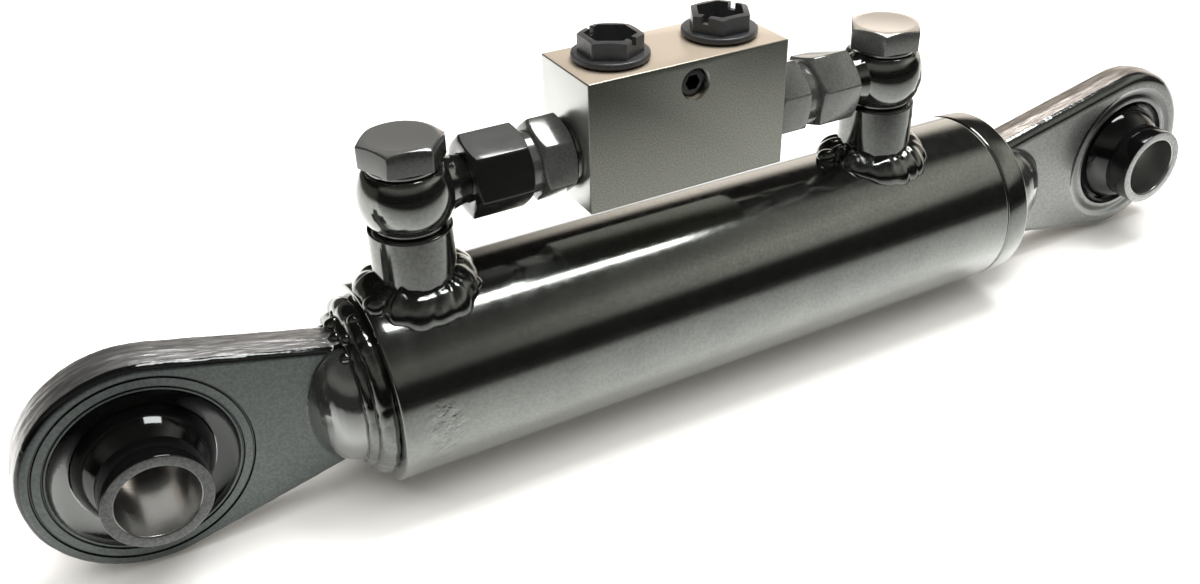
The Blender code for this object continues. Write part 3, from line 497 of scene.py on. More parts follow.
BLACK = (0.175, 0.184, 0.173)
BLACK_LIGHT = (0.235, 0.246, 0.228)
BOSS_BLACK = (0.11, 0.116, 0.108)
FITTING = (0.095, 0.098, 0.093)
FITTING_LIGHT = (0.13, 0.133, 0.127)
# Painted light on the tops of the base nut and of the bolts
NUT_PAINTED_TOP = (0.07, 0.072, 0.069)
BOLT_PAINTED_TOP_GREY = (0.1, 0.1, 0.096)
BOLT_PAINTED_TOP_PALE = (0.335, 0.302, 0.26)
BALL_BLACK = (0.032, 0.034, 0.033)
BALL_BORE = (0.42, 0.42, 0.41)
# Painted shade and painted reflection in the eyes' dishes
PAINTED_DISH_SHADE = (0.045, 0.048, 0.047)
PAINTED_DISH_REFLECTION = (0.155, 0.162, 0.155)
SHANK_BLACK = (0.26, 0.27, 0.26)
# Painted shade in the eyes' grooves and the barrel scuff's creases; the first is also the front screw's own
# black
SHADE_AND_SCREW_BLACK = (0.03, 0.032, 0.031)
ROD_GROOVE_SHADE = (0.13, 0.135, 0.13)
FACE_DARK = (0.078, 0.09, 0.086)
FACE_PALE = (0.205, 0.211, 0.2)
RIM_GREY = (0.5, 0.495, 0.49)
RIM_BROWN = (0.42, 0.375, 0.34)
BLOCK_FRONT = (0.168, 0.172, 0.15)
# Painted reflections on the valve block's ends and top
PAINTED_END_REFLECTION = (0.49, 0.5, 0.485)
PAINTED_TOP_REFLECTION = (0.46, 0.39, 0.31)
BALL_FACE_DARK = (0.085, 0.088, 0.086)
BALL_FACE_PALE = (0.3, 0.305, 0.295)
CHROME = (0.62, 0.62, 0.61)
STEEL = (0.5, 0.5, 0.49)
SPRING_STEEL = (0.45, 0.45, 0.45)
RUBBER = (0.016, 0.016, 0.016)
RUBBER_LIGHT = (0.03, 0.03, 0.03)
SEAL_GREEN = (0.04, 0.18, 0.13)
SEAL_LIGHT = (0.06, 0.25, 0.18)
BRONZE = (0.36, 0.24, 0.11)
BRONZE_LIGHT = (0.48, 0.33, 0.16)
PLASTIC = (0.022, 0.023, 0.024)
PLASTIC_LIGHT = (0.042, 0.043, 0.045)

# Parts of a noise's range that take up a whole change of colour or of shine
PATCHES = (0.35, 0.65)
SHINE = (0.3, 0.7)

# Limits of a normal's part along an axis, from past the edge to facing it
FACING = (0.8, 0.95)

# Weights that leave the distance from a pin's axis
FROM_PIN = (1, 0, 1)


def paint(name, rough=(0.1, 0.17), peel=0.012 * MM, colour=BLACK, light=BLACK_LIGHT):
    """Gloss black with a mirror under a clear coat: soft orange peel and a fine grain."""
    made = Finish(name, colour, rough[0], 0.97, Coat_Weight=0.5, Coat_Roughness=0.05)
    tone = made.plus(made.times(made.grain(14 * MM), 0.35), made.times(made.grain(1.1 * MM, 2), 0.65))
    made.colours(made.ranged(tone, *PATCHES, 0, 1), colour, light)
    made.uneven(made.grain(5 * MM, 4), *rough)
    made.bump(made.grain(2.4 * MM, 1.5), peel)
    made.bump(made.grain(0.4 * MM, 2), peel * 0.5)
    return made


SCUFF = (14 * MM, -34.5 * MM, -4 * MM)
SCUFF_SHAPE = (1, 1, 0.6)
SCUFF_EDGE = (4 * MM, 9 * MM)


def barrel_finish():
    """The barrel's paint, with one crinkled scuff near its base end, whose creases carry dark lines of
    painted shade.
    """
    made = paint("barrel_paint")
    scuff = made.rest(made.step(made.away(SCUFF_SHAPE, SCUFF), *SCUFF_EDGE))
    crinkle = made.grain(3 * MM, 2, 0.5)
    made.bump(crinkle, 1.1 * MM, scuff)
    fold = made.math('ABSOLUTE', made.plus(crinkle, -0.5))
    # Painted shade: dark lines along the crinkle's folds
    crease_shade = made.times(made.rest(made.step(fold, 0.004, 0.02)), scuff)
    coat = made.shader.inputs["Base Color"].links[0].from_socket
    made.surface(Base_Color=made.mixed(made.times(crease_shade, 0.25), coat, SHADE_AND_SCREW_BLACK))
    return made


def forging_finish(name, face, rim, edge_size, groove_at, groove, dish_lower_left, dish_upper_right):
    """A forged eye: satin faces, a rough rim, grooves darkened as painted shade, a dish coloured with
    painted shade and painted reflection, and gloss in the dish and on the shank.
    """
    made = Finish(name, BLACK, 0.14, 0.92, Coat_Weight=0.35, Coat_Roughness=0.08)
    place = made.split(made.coords)
    depth = made.math('ABSOLUTE', place["Y"])
    out = made.away(FROM_PIN)
    half = EYE_THICK / 2
    outside = made.step(out, 30 * MM, 30.6 * MM)
    flat = made.times(made.step(depth, half - 0.4 * MM, half - 0.15 * MM),
                      made.rest(made.step(depth, half + 0.25 * MM, half + 0.5 * MM)))
    edge = made.times(made.rest(made.step(depth, half - 0.95 * edge_size, half - 0.7 * edge_size)), outside)
    bulk = made.step(depth, half + 0.3 * MM, half + 0.6 * MM)
    tone = made.grain(4 * MM, 5, 0.6, made.stretch((0.5, 2.5, 0.5)))
    rim_colour = made.speckled(tone, rim, 0.6, 1)
    lean = made.plus(place["X"], place["Z"])
    # Painted reflection and painted shade: the dish's colour changes from its first colour towards low X
    # and Z to its second towards high X and Z
    dish = made.mixed(made.step(lean, -24 * MM, 4 * MM), dish_lower_left, dish_upper_right)
    # Painted shade: below the face, the grooves beyond groove_at take the groove colour
    low = made.mixed(made.step(out, groove_at - 0.3 * MM, groove_at), dish, groove)
    ground = made.speckled(made.grain(1.0 * MM, 3), face, 0.85, 1.15)
    plate = made.mixed(edge, made.mixed(flat, low, ground), rim_colour)
    rough = made.plus(made.plus(made.times(flat, 0.22), made.times(edge, 0.24)), 0.12)
    made.surface(Base_Color=made.mixed(bulk, plate, SHANK_BLACK), Roughness=rough)
    fine = made.grain(0.9 * MM, 4, 0.6, made.stretch((0.5, 1, 1)))
    made.bump(fine, 0.09 * MM, made.times(flat, 0.8))
    streaks = made.grain(2.4 * MM, 5, 0.65, made.stretch((0.25, 1.6, 0.25)))
    made.bump(streaks, 0.3 * MM, edge)
    made.bump(made.grain(2.2 * MM, 2), 0.03 * MM)
    return made


def ball_finish(name, face):
    """A gloss black ball with satin end faces and a bore turned in fine rings."""
    made = Finish(name, BALL_BLACK, 0.07, 0.92, Coat_Weight=0.3, Coat_Roughness=0.05)
    depth = made.math('ABSOLUTE', made.split(made.coords)["Y"])
    end = made.step(depth, BALL_WIDTH / 2 - 0.15 * MM, BALL_WIDTH / 2 - 0.05 * MM)
    out = made.away(FROM_PIN)
    bore = made.rest(made.step(out, PIN_BORE_R + 0.2 * MM, PIN_BORE_R + 0.4 * MM))
    ground = made.speckled(made.grain(0.9 * MM, 3), face, 0.8, 1.2)
    rough = made.plus(made.plus(made.times(bore, 0.13), made.times(end, 0.28)), 0.07)
    coat = made.mixed(end, BALL_BLACK, ground)
    made.surface(Base_Color=made.mixed(bore, coat, BALL_BORE), Roughness=rough)
    rings = made.grain(0.8 * MM, 2, 0.5, made.stretch((0.02, 1, 0.02)))
    made.bump(rings, 0.03 * MM, bore)
    return made


def face_up(made):
    """1 where the surface looks up."""
    return made.step(made.split(made.normal)["Z"], *FACING)


def fitting_finish(name, top=None, depth=1):
    """Black plated fittings, duller than the paint. depth darkens them as painted shade, but not a given
    top, which is painted light: a colour, less metallic, on the faces that look up.
    """
    made = Finish(name, FITTING, 0.16, 0.55, Coat_Weight=0.5, Coat_Roughness=0.06)
    tone = made.plus(made.times(made.grain(6 * MM), 0.3), made.times(made.grain(0.9 * MM, 2), 0.7))
    colour = made.blotched(tone, shaded(FITTING, depth), shaded(FITTING_LIGHT, depth))
    # Painted light: faces that look up take the top colour
    if top:
        up = face_up(made)
        colour = made.mixed(up, colour, top)
        made.surface(Metallic=made.ranged(up, 0, 1, 0.55, 0.1))
    made.surface(Base_Color=colour)
    made.uneven(made.grain(5 * MM, 4), 0.12, 0.22)
    made.bump(made.grain(0.5 * MM, 2), 0.006 * MM)
    return made


def block_finish():
    """The valve block: a satin front, painted reflections that make its ends brighter and its top pale, and
    a fine speckle.
    """
    made = Finish("valve_paint", BLOCK_FRONT, 0.3, 0.9, Coat_Weight=0.25, Coat_Roughness=0.2)
    along = made.math('ABSOLUTE', made.split(made.normal)["X"])
    up = face_up(made)
    front = made.speckled(made.grain(0.5 * MM, 2), BLOCK_FRONT, 1, 1.5)
    # Painted reflection: faces that look along the barrel, the ends, take a brighter colour
    sides = made.mixed(made.step(along, *FACING), front, PAINTED_END_REFLECTION)
    # Painted reflection: faces that look up take a pale, less metallic colour
    made.surface(Base_Color=made.mixed(up, sides, PAINTED_TOP_REFLECTION), Metallic=made.ranged(up, 0, 1, 0.9, 0.35))
    made.bump(made.grain(0.45 * MM, 2), 0.012 * MM)
    return made


def metal_finish(name, colour, grain, rough, bump=0):
    """Bare metal with an uneven shine. grain is a noise's size and detail."""
    made = Finish(name, colour, rough[0], 1.0)
    made.uneven(made.grain(*grain), *rough)
    if bump:
        made.bump(made.grain(0.4 * MM, 3), bump)
    return made


def chrome_finish():
    made = Finish("chrome_rod", CHROME, 0.08, 1.0)
    made.uneven(made.grain(3 * MM, 3, 0.5, made.stretch((0.1, 1, 1))), 0.05, 0.12)
    return made


def soft_finish(name, dark, light, roughness, grain):
    """Rubber, seals and guide rings."""
    made = Finish(name, dark, roughness)
    made.colours(made.grain(*grain), dark, light)
    made.bump(made.grain(0.3 * MM, 2), 0.01 * MM)
    return made


def plastic_finish():
    made = Finish("plug_plastic", PLASTIC, 0.5)
    made.colours(made.grain(2 * MM, 4), PLASTIC, PLASTIC_LIGHT)
    made.uneven(made.grain(1 * MM, 3), 0.26, 0.42)
    made.bump(made.grain(0.35 * MM, 3), 0.02 * MM)
    return made


KIT = {made.name: made.material for made in (
    barrel_finish(),
    fitting_finish("fitting_paint"),
    # Copies of the fitting finish, darkened by depth as painted shade, with painted light on their tops
    fitting_finish("nut_black", NUT_PAINTED_TOP, 0.15),
    fitting_finish("bolt_grey", BOLT_PAINTED_TOP_GREY, 0.5),
    fitting_finish("bolt_pale", BOLT_PAINTED_TOP_PALE),
    paint("banjo_paint", (0.08, 0.14), 0.008 * MM),
    paint("boss_paint", (0.1, 0.18), 0.01 * MM, BOSS_BLACK, BLACK),
    paint("washer_paint", (0.12, 0.2), 0.006 * MM),
    paint("screw_paint", (0.25, 0.35), 0.006 * MM, SHADE_AND_SCREW_BLACK, SHADE_AND_SCREW_BLACK),
    # The eyes carry painted shade in their grooves and dishes, and the base eye a painted reflection in its
    # dish
    forging_finish("forging_paint", FACE_DARK, RIM_GREY, EYE_EDGE, 29 * MM, SHADE_AND_SCREW_BLACK,
                   PAINTED_DISH_REFLECTION, PAINTED_DISH_SHADE),
    forging_finish("rod_forging", FACE_PALE, RIM_BROWN, ROD_EYE_EDGE, 25.2 * MM, ROD_GROOVE_SHADE,
                   PAINTED_DISH_SHADE, PAINTED_DISH_SHADE),
    block_finish(),
    ball_finish("ball_steel", BALL_FACE_DARK),
    ball_finish("rod_ball_steel", BALL_FACE_PALE),
    chrome_finish(),
    metal_finish("bare_steel", STEEL, (1 * MM, 4), (0.22, 0.36), 0.01 * MM),
    metal_finish("spring_steel", SPRING_STEEL, (0.6 * MM, 3), (0.22, 0.34)),
    soft_finish("black_rubber", RUBBER, RUBBER_LIGHT, 0.6, (2 * MM, 3)),
    soft_finish("seal_green", SEAL_GREEN, SEAL_LIGHT, 0.4, (1.5 * MM, 4)),
    soft_finish("bronze_ring", BRONZE, BRONZE_LIGHT, 0.4, (1.5 * MM, 4)),
    plastic_finish(),
)}


# Eyes

EYE_HALF = EYE_THICK / 2
HEAD_PARTS = 96
SIDE_PARTS = 24
RIM_PARTS = 5
MOUTH_PARTS = 8
SEAT_PARTS = 12
BALL_PARTS = 24
DOME_PARTS = 12
NECK_SINK = 5 * MM
SHANK_EDGE = 0.6 * MM
SHANK_GAP = 1 * MM

# Depth and inset of the flash line round the plate, in millimetres
FLASH = ((-0.7, 0.12), (-0.25, 0), (0.25, 0), (0.7, 0.12))

# Each shank's radius, its straight run and the length of its dome
BASE_SHANK = (24 * MM, 7.5 * MM, 16 * MM)
ROD_SHANK = (21.5 * MM, 8 * MM, 25 * MM)

# Each groove's radius, half its width, and its depth
BASE_GROOVES = ((33.3 * MM, 0.5 * MM, 0.7 * MM), (29.9 * MM, 0.45 * MM, 0.6 * MM))
ROD_GROOVES = ((28.6 * MM, 2.4 * MM, 0.9 * MM),)

# Lengths of the forged skin's streaks, lumps and pits, and their depths in millimetres
STREAK_RUN = 9 * MM
STREAK_ACROSS = 1.1 * MM
LUMP = 3.2 * MM
PIT = 1.3 * MM
STREAK_DEPTH = 0.16
LUMP_DEPTH = 0.1
PIT_DEPTH = 0.06
SKIN_SINK = 0.1

# How deep the rim's skin grows calm towards the flats, and what is left of it there
CALM_DEPTH = 0.9 * MM
CALM_SHARE = 0.12

# How soon a mouth's bowl deepens and widens from its lip
BOWL_DEEPENS = 0.5
BOWL_WIDENS = 1.5


def eye_outline(reach, head, half, side):
    """Points round the plate: straight sides from the neck run tangent into a round head."""
    touch = atan2(half, reach) + acos(head / hypot(reach, half))
    points = arc((0, 0), head, touch, tau - touch, HEAD_PARTS)
    corners = [points[-1], (reach, -half), (reach, half), points[0]]
    for here, there in zip(corners, corners[1:]):
        points += between(Vector(here), Vector(there), SIDE_PARTS) + [there]
    return [(side * along, up) for along, up in points[:-1]]


def plate_levels(edge):
    """Depth and inset of the plate's rim across its thickness: round edges, draft and a flash line."""
    rim = []
    for step in range(RIM_PARTS + 1):
        lean = pi / 2 * step / RIM_PARTS
        rim.append((-EYE_HALF + edge * (1 - cos(lean)), EYE_CROWN + edge * (1 - sin(lean))))
    flash = [(depth * MM, inset * MM) for depth, inset in FLASH]
    return rim + flash + [(-depth, inset) for depth, inset in reversed(rim)]


def forge_skin(piece, rough):
    """Wavy hammered skin on the rim and a calmer one on the flats."""
    mesh = piece.data
    spots = [vert.co.copy() for vert in mesh.vertices]
    normals = [normal.vector.copy() for normal in mesh.vertex_normals]
    moved = []
    for spot, normal in zip(spots, normals):
        wild = min(max((EYE_HALF - abs(spot.y)) / CALM_DEPTH, CALM_SHARE), 1)
        streak = noise.noise(Vector((spot.x / STREAK_RUN, spot.y / STREAK_ACROSS, spot.z / STREAK_RUN)))
        lump = noise.noise(spot / LUMP)
        pit = noise.noise(spot / PIT)
        depth = (STREAK_DEPTH * streak + LUMP_DEPTH * lump + PIT_DEPTH * pit) * rough * wild
        moved.extend(spot + normal * (depth * MM - SKIN_SINK * MM * wild))
    mesh.vertices.foreach_set("co", moved)
    mesh.update()


def race_cutter(flare):
    """The ball's seat and both dished mouths."""
    seat_r = BALL_R + SEAT
    open_angle = acos(RACE_LIP / seat_r)
    lip_r = seat_r * sin(open_angle)
    deep = EYE_HALF - RACE_LIP
    bowl = []
    for step in range(1, MOUTH_PARTS + 1):
        share = step / MOUTH_PARTS
        depth = deep * (BOWL_DEEPENS * share * (1 - share) + share ** 2)
        widening = flare * (BOWL_WIDENS * share * (1 - share) + share ** 2)
        bowl.append((RACE_LIP + depth, lip_r + widening))
    end = (EYE_HALF + OVERRUN, lip_r + flare + OVERRUN * flare / (3 * deep))
    outline = [(-end[0], 0), (-end[0], end[1])] + [(-along, out) for along, out in reversed(bowl)]
    outline += arc((0, 0), seat_r, pi - open_angle, open_angle, SEAT_PARTS)
    outline += bowl + [end, (end[0], 0)]
    return lathe("race", outline, AXIS_Y, TURN_FINE)


def groove_cutter(radius, half_width, depth, side):
    face = side * EYE_HALF
    above, floor = face + side * depth, face - side * depth
    mouth, foot = half_width * 1.3, half_width * 0.4
    outline = [(above, radius - mouth), (face, radius - half_width), (floor, radius - foot),
               (floor, radius + foot), (face, radius + half_width), (above, radius + mouth)]
    return lathe("groove", outline, AXIS_Y, TURN_FINE)


def shank_outline(foot, side, radius, run, dome):
    """A shank from its foot to the dome that runs into the plate, along X from the pin."""
    outline = [(foot, 0), (foot, radius - SHANK_EDGE), (foot + side * SHANK_EDGE, radius)]
    for step in range(DOME_PARTS + 1):
        angle = pi / 2 * step / DOME_PARTS
        outline.append((foot + side * (run + dome * sin(angle)), radius * cos(angle)))
    outline[-1] = (foot + side * (run + dome), 0)
    return outline


def forged_eye(name, node, finish, pin, foot, shank, edge, rough, flare, grooves):
    """Plate and shank as one forging. foot is the shank's end along X from the pin."""
    side = 1 if foot > 0 else -1
    reach = abs(foot) - NECK_SINK
    head = BASE_PIN.z
    rings = [[(x, y, z) for x, z in eye_outline(reach, head - inset, NECK_HALF - inset, side)]
             for y, inset in plate_levels(edge)]
    eye = make_object(name, skinned(rings))
    cut(eye, lathe("shank", shank_outline(foot, -side, *shank), AXIS_X, TURN), 'UNION')
    remesh = eye.modifiers.new("skin", 'REMESH')
    remesh.mode = 'VOXEL'
    remesh.voxel_size = SKIN_VOXEL
    smooth = eye.modifiers.new("smooth", 'SMOOTH')
    smooth.iterations = 3
    smooth.factor = 0.5
    settle(eye)
    forge_skin(eye, rough)
    cut(eye, race_cutter(flare), solver='MANIFOLD')
    for groove in grooves:
        for face in (-1, 1):
            cut(eye, groove_cutter(*groove, face), solver='MANIFOLD')
    eye.location = pin
    stand_in(eye, node, finish, FORGED_ANGLE)


def make_eyes():
    foot = BASE_RIM_X - SHANK_GAP - BASE_PIN.x
    forged_eye("base_eye_forging", "base_eye", "forging_paint", BASE_PIN, foot, BASE_SHANK, EYE_EDGE,
               rough=0.7, flare=6.8 * MM, grooves=BASE_GROOVES)
    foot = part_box("rod_eye")[0].x - ROD_PIN.x
    forged_eye("rod_eye_forging", "rod_eye", "rod_forging", ROD_PIN, foot, ROD_SHANK, ROD_EYE_EDGE,
               rough=0.35, flare=2.6 * MM, grooves=ROD_GROOVES)


def make_ball(name, node, place, finish):
    half = BALL_WIDTH / 2
    root = acos(COLLAR_R / BALL_R)
    outline = [(-half, PIN_BORE_R, 0.8 * MM), (-half, COLLAR_R, 0.5 * MM)]
    outline += arc((0, 0), BALL_R, pi / 2 + root, pi / 2 - root, BALL_PARTS)
    outline += [(half, COLLAR_R, 0.5 * MM), (half, PIN_BORE_R, 0.8 * MM)]
    stand_in(lathe(name, outline, AXIS_Y, TURN_FINE, place), node, finish)


# Barrel, cap and gland

RIM_ROUND = 0.3 * MM
CAP_EDGE = (0.9 * MM, 1.6 * MM)
WIPER_SEAT_R = 22 * MM
WIPER_SEAT = 6.5 * MM
SPIGOT_R = 12 * MM
STUD_R = 10 * MM

# Place from the barrel's rim and rise over its radius, in millimetres
SWELL = ((6, 0), (10, -0.12), (13, -0.05), (17, 0), (22, -0.02))


def on_axis(x):
    return (x, 0, AXIS_HEIGHT)


def make_barrel():
    length = BARREL_HIGH.x - BARREL_LOW.x
    bore = BARREL_R - WALL
    outline = [(0, bore, RIM_ROUND), (0, BARREL_R, 0.9 * MM)]
    outline += [(at * MM, BARREL_R + rise * MM, 2 * MM) for at, rise in SWELL]
    outline += [(length, BARREL_R, 0.8 * MM), (length, bore, RIM_ROUND)]
    barrel = lathe("barrel", outline, AXIS_X, TURN_FINE, on_axis(BASE_RIM_X))
    stand_in(barrel, "barrel_tube", "barrel_paint")


def make_cap():
    low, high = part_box("base_cap")
    radius = (high.y - low.y) / 2
    depth = high.x - low.x
    outline = [(0, 0), (0, radius - CAP_EDGE[1]), (CAP_EDGE[0], radius), (depth, radius), (depth, 0)]
    cap = lathe("barrel_end_cap", outline, AXIS_X, TURN, on_axis(low.x), radius=0.4 * MM)
    stand_in(cap, "base_cap", "barrel_paint")


def make_gland():
    """The gland's flange shows; inside the barrel it is a plain sleeve with the wiper's seat."""
    length = GLAND_HIGH.x - GLAND_LOW.x
    shoulder = length - (GLAND_HIGH.x - BARREL_HIGH.x - SEAT)
    bore = ROD_R + SEAT
    sleeve = BARREL_R - WALL - SEAT
    pocket = length - WIPER_SEAT
    outline = [(0, bore, RIM_ROUND), (0, sleeve, RIM_ROUND), (shoulder - 1 * MM, sleeve, RIM_ROUND),
               (shoulder - 0.2 * MM, BARREL_R - 2 * MM), (shoulder, BARREL_R - 1.1 * MM, 0.1 * MM),
               (shoulder + 0.7 * MM, BARREL_R, 0.5 * MM), (length, BARREL_R, 1.3 * MM),
               (length, WIPER_SEAT_R, 0.4 * MM), (pocket, WIPER_SEAT_R), (pocket, bore, 0.2 * MM)]
    gland = lathe("gland_nut", outline, AXIS_X, TURN_FINE, on_axis(GLAND_LOW.x))
    stand_in(gland, "gland", "barrel_paint")


def make_wiper():
    low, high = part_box("rod_wiper")
    length = high.x - low.x
    outer = (high.y - low.y) / 2
    inner = ROD_R + SEAT
    outline = [(0, inner), (0, outer), (length - 0.9 * MM, outer),
               (length - 0.7 * MM, outer - 1.2 * MM), (length, inner + 1.1 * MM),
               (length - 0.3 * MM, inner + 0.1 * MM)]
    wiper = lathe("rod_wiper_ring", outline, AXIS_X, TURN, on_axis(low.x), radius=0.2 * MM)
    stand_in(wiper, "rod_wiper", "black_rubber")


def make_rod():
    low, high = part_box("piston_rod")
    length = high.x - low.x
    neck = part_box("piston")[1].x + SEAT - low.x
    body_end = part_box("rod_eye")[0].x - SEAT - low.x
    outline = [(0, 0), (0, SPIGOT_R, 0.8 * MM), (neck, SPIGOT_R), (neck, ROD_R, 0.8 * MM),
               (body_end, ROD_R, 0.3 * MM), (body_end, STUD_R), (length, STUD_R, 0.4 * MM), (length, 0)]
    rod = lathe("chromed_rod", outline, AXIS_X, TURN_FINE, on_axis(low.x))
    stand_in(rod, "piston_rod", "chrome_rod")


# Each pass of the neck weld: place along the barrel, distance from its axis, radius and ripples
NECK_PASSES = ((-2.4, 26.9, 4.2, 26), (-6.2, 24, 3, 22))

# Angle round the barrel, place along it, distance from its axis and radius
NECK_BLOBS = ((97, -9, 23, 2.6), (108, -7, 25.5, 2.4), (84, -8, 24.5, 3), (120, -9, 23.5, 2.2),
              (101, -3, 29, 2.8), (72, -5, 26.5, 2.4), (262, -8, 23.5, 2.4))


def make_neck_weld():
    """Two passes of weld between the base eye's shank and the barrel's end."""
    for number, (at, ring_r, size, count) in enumerate(NECK_PASSES):
        def frame_at(angle):
            out = Vector((0, cos(angle), sin(angle)))
            return Vector((at * MM, 0, 0)) + out * (ring_r * MM), out, Vector((-1, 0, 0))
        bm = weld_bead(frame_at, size * MM, 360, 20, ripples=count, depth=0.045, lumps=0.12,
                       seed=3.1 + number)
        bead = make_object("neck_weld_" + str(number + 1), bm, on_axis(BASE_RIM_X))
        extra(bead, "base_eye", "boss_paint")
    centre = Vector(on_axis(BASE_RIM_X))
    spots = []
    for lean, at, ring_r, size in NECK_BLOBS:
        out = Vector((at, cos(radians(lean)) * ring_r, sin(radians(lean)) * ring_r))
        spots.append((centre + out * MM, size * MM))
    weld_blobs("neck_weld_blobs", "base_eye", spots)


# Ports

BOSS_R = 14 * MM
BOSS_SINK = 4 * MM
BEAD_PATH_R = 15 * MM
BEAD_R = 6.9 * MM
BEAD_SINK = 1.2 * MM
BEAD_SEED = {"base": 1.7, "rod": 7.4}
BANJO_R = 16 * MM
BANJO_PARTS = 20
HEX_AF = 25 * MM
HEX_EDGE = 0.3 * MM
STEM_R = 8 * MM
STEM_BORE_R = 4 * MM
STEM_FOOT = 10.9 * MM
BOLT_TURN = radians(-8)
NUT_TURN = radians(15)
ADAPTER_TURN = radians(21)
ADAPTER_R = 10.6 * MM
ADAPTER_REACH = 11.5 * MM
ADAPTER_HEX = {"base": 12.2 * MM, "rod": 13.6 * MM}
NUT_MORE = {"base": 3 * MM, "rod": 0}
# The base side's bolt and nut take the darker copies, as painted shade, and both bolts a top of painted
# light
BOLT_FINISH = {"base": "bolt_grey", "rod": "bolt_pale"}
NUT_FINISH = {"base": "nut_black", "rod": "fitting_paint"}

# Shift from the barrel's crest at the boss, and radius
BOSS_BLOBS = {"base": (((-17, -8, -1), 4.2), ((16, -10, -2.5), 3.6)),
              "rod": (((-21.5, 1, 0.2), 3.9), ((-15, -9, -2), 3.4))}


def turn_of(side):
    """The rod side's fittings are the base side's turned by half a turn."""
    return 0 if side > 0 else pi


def outer_x(node, side):
    """The end of a fitting that looks away from the valve block's middle."""
    low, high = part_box(node)
    return low.x if side > 0 else high.x


def make_boss(name):
    node = name + "_port_boss"
    x = port_x(name)
    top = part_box(node)[1].z
    foot = AXIS_HEIGHT + BARREL_R - BOSS_SINK
    outline = [(foot, THREAD_R), (foot, BOSS_R), (top, BOSS_R, 0.7 * MM), (top, THREAD_R + SEAT, 0.5 * MM)]
    stand_in(lathe(name + "_boss", outline, AXIS_Z, TURN, (x, 0, 0)), node, "boss_paint")

    def frame_at(angle):
        across = BEAD_PATH_R * sin(angle)
        height = sqrt(BARREL_R ** 2 - across ** 2) - BEAD_SINK
        out = Vector((cos(angle), sin(angle), 0))
        return Vector((BEAD_PATH_R * cos(angle), across, height)), out, Vector((0, 0, 1))
    bm = weld_bead(frame_at, BEAD_R, 420, 28, ripples=5, depth=0.13, lumps=0.14, seed=BEAD_SEED[name],
                   flat=0.2)
    stay_in_wall(bm, 0)
    extra(make_object(name + "_boss_weld", bm, (x, 0, AXIS_HEIGHT)), node, "boss_paint")
    crest = Vector((x, 0, AXIS_HEIGHT + BARREL_R))
    spots = [(crest + Vector(shift) * MM, size * MM) for shift, size in BOSS_BLOBS[name]]
    weld_blobs(name + "_boss_blobs", node, spots)


def make_bolt(name):
    node = name + "_banjo_bolt"
    place = (port_x(name), 0, 0)
    low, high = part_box(node)
    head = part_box(name + "_seal_washer_upper")[1].z + SEAT
    bm = hexagon(HEX_AF, head, high.z, AXIS_Z, BOLT_TURN, slope=0.45, low_chamfer=False, dish=0.15 * MM)
    bolt = make_object(name + "_bolt", bm, place)
    soften(bolt, HEX_EDGE)
    radius, root = THREAD_R - SEAT, head + 1 * MM
    shank = [(low.z, 0), (low.z, radius, 0.8 * MM), (root, radius), (root, 0)]
    cut(bolt, lathe("shank", shank, AXIS_Z, TURN_SMALL, place), 'UNION')
    stand_in(bolt, node, BOLT_FINISH[name])


def make_washer(node, axis):
    low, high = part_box(node)
    half = (high - low) / 2
    thick, outer = (half.z, half.x) if axis == AXIS_Z else (half.x, half.z)
    inner = THREAD_R + SEAT
    outline = [(-thick, inner), (-thick, outer), (thick, outer), (thick, inner)]
    ring = lathe(node + "_ring", outline, axis, TURN, centre_of(node), radius=0.35 * MM)
    stand_in(ring, node, "washer_paint")


def make_banjo(name, side):
    node = name + "_banjo"
    low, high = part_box(node)
    half = (high.z - low.z) / 2
    flat_r = sqrt(BANJO_R ** 2 - half ** 2) - 0.5 * MM
    lean = asin(half / BANJO_R)
    outline = [(-half, THREAD_R + SEAT, 0.4 * MM), (-half, flat_r, 0.3 * MM)]
    outline += arc((0, 0), BANJO_R, pi / 2 + lean, pi / 2 - lean, BANJO_PARTS)[1:-1]
    outline += [(half, flat_r, 0.3 * MM), (half, THREAD_R + SEAT, 0.4 * MM)]
    place = (port_x(name), 0, (low.z + high.z) / 2)
    banjo = lathe(name + "_banjo_eye", outline, AXIS_Z, TURN, place, turn_of(side))
    length = side * (outer_x(node, -side) - place[0])
    stem = [(STEM_FOOT, STEM_BORE_R), (STEM_FOOT, STEM_R + 2.2 * MM),
            (16.2 * MM, STEM_R + 0.6 * MM, 1.5 * MM), (18.2 * MM, STEM_R, 1 * MM),
            (length, STEM_R, 0.5 * MM), (length, STEM_BORE_R)]
    cut(banjo, lathe("stem", stem, AXIS_X, TURN_SMALL, place, turn_of(side)), 'UNION')
    stand_in(banjo, node, "banjo_paint")


def make_nut(name, side):
    node = name + "_union_nut"
    low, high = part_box(node)
    length = high.x - low.x + NUT_MORE[name]
    bm = hexagon(HEX_AF, 0, length, AXIS_X, NUT_TURN, bore=STEM_R + SEAT)
    nut = make_object(name + "_nut", bm, (outer_x(node, side), 0, port_z(name)), turn_of(side))
    soften(nut, HEX_EDGE)
    stand_in(nut, node, NUT_FINISH[name])


def make_adapter(name, side):
    node = name + "_stud_adapter"
    low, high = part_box(node)
    length = high.x - low.x
    start = outer_x(node, side)
    place = (start, 0, port_z(name))
    hex_end = side * (outer_x(name + "_adapter_seal", side) - start) - SEAT
    bm = hexagon(HEX_AF, hex_end - ADAPTER_HEX[name], hex_end, AXIS_X, ADAPTER_TURN)
    adapter = make_object(name + "_adapter", bm, place, turn_of(side))
    soften(adapter, HEX_EDGE)
    inside = hex_end - ADAPTER_REACH
    body = [(0, 0), (0, ADAPTER_R, 0.8 * MM), (inside, ADAPTER_R), (inside, THREAD_R),
            (length, THREAD_R, 0.8 * MM), (length, 0)]
    cut(adapter, lathe("body", body, AXIS_X, TURN_SMALL, place, turn_of(side)), 'UNION')
    stand_in(adapter, node, "fitting_paint")


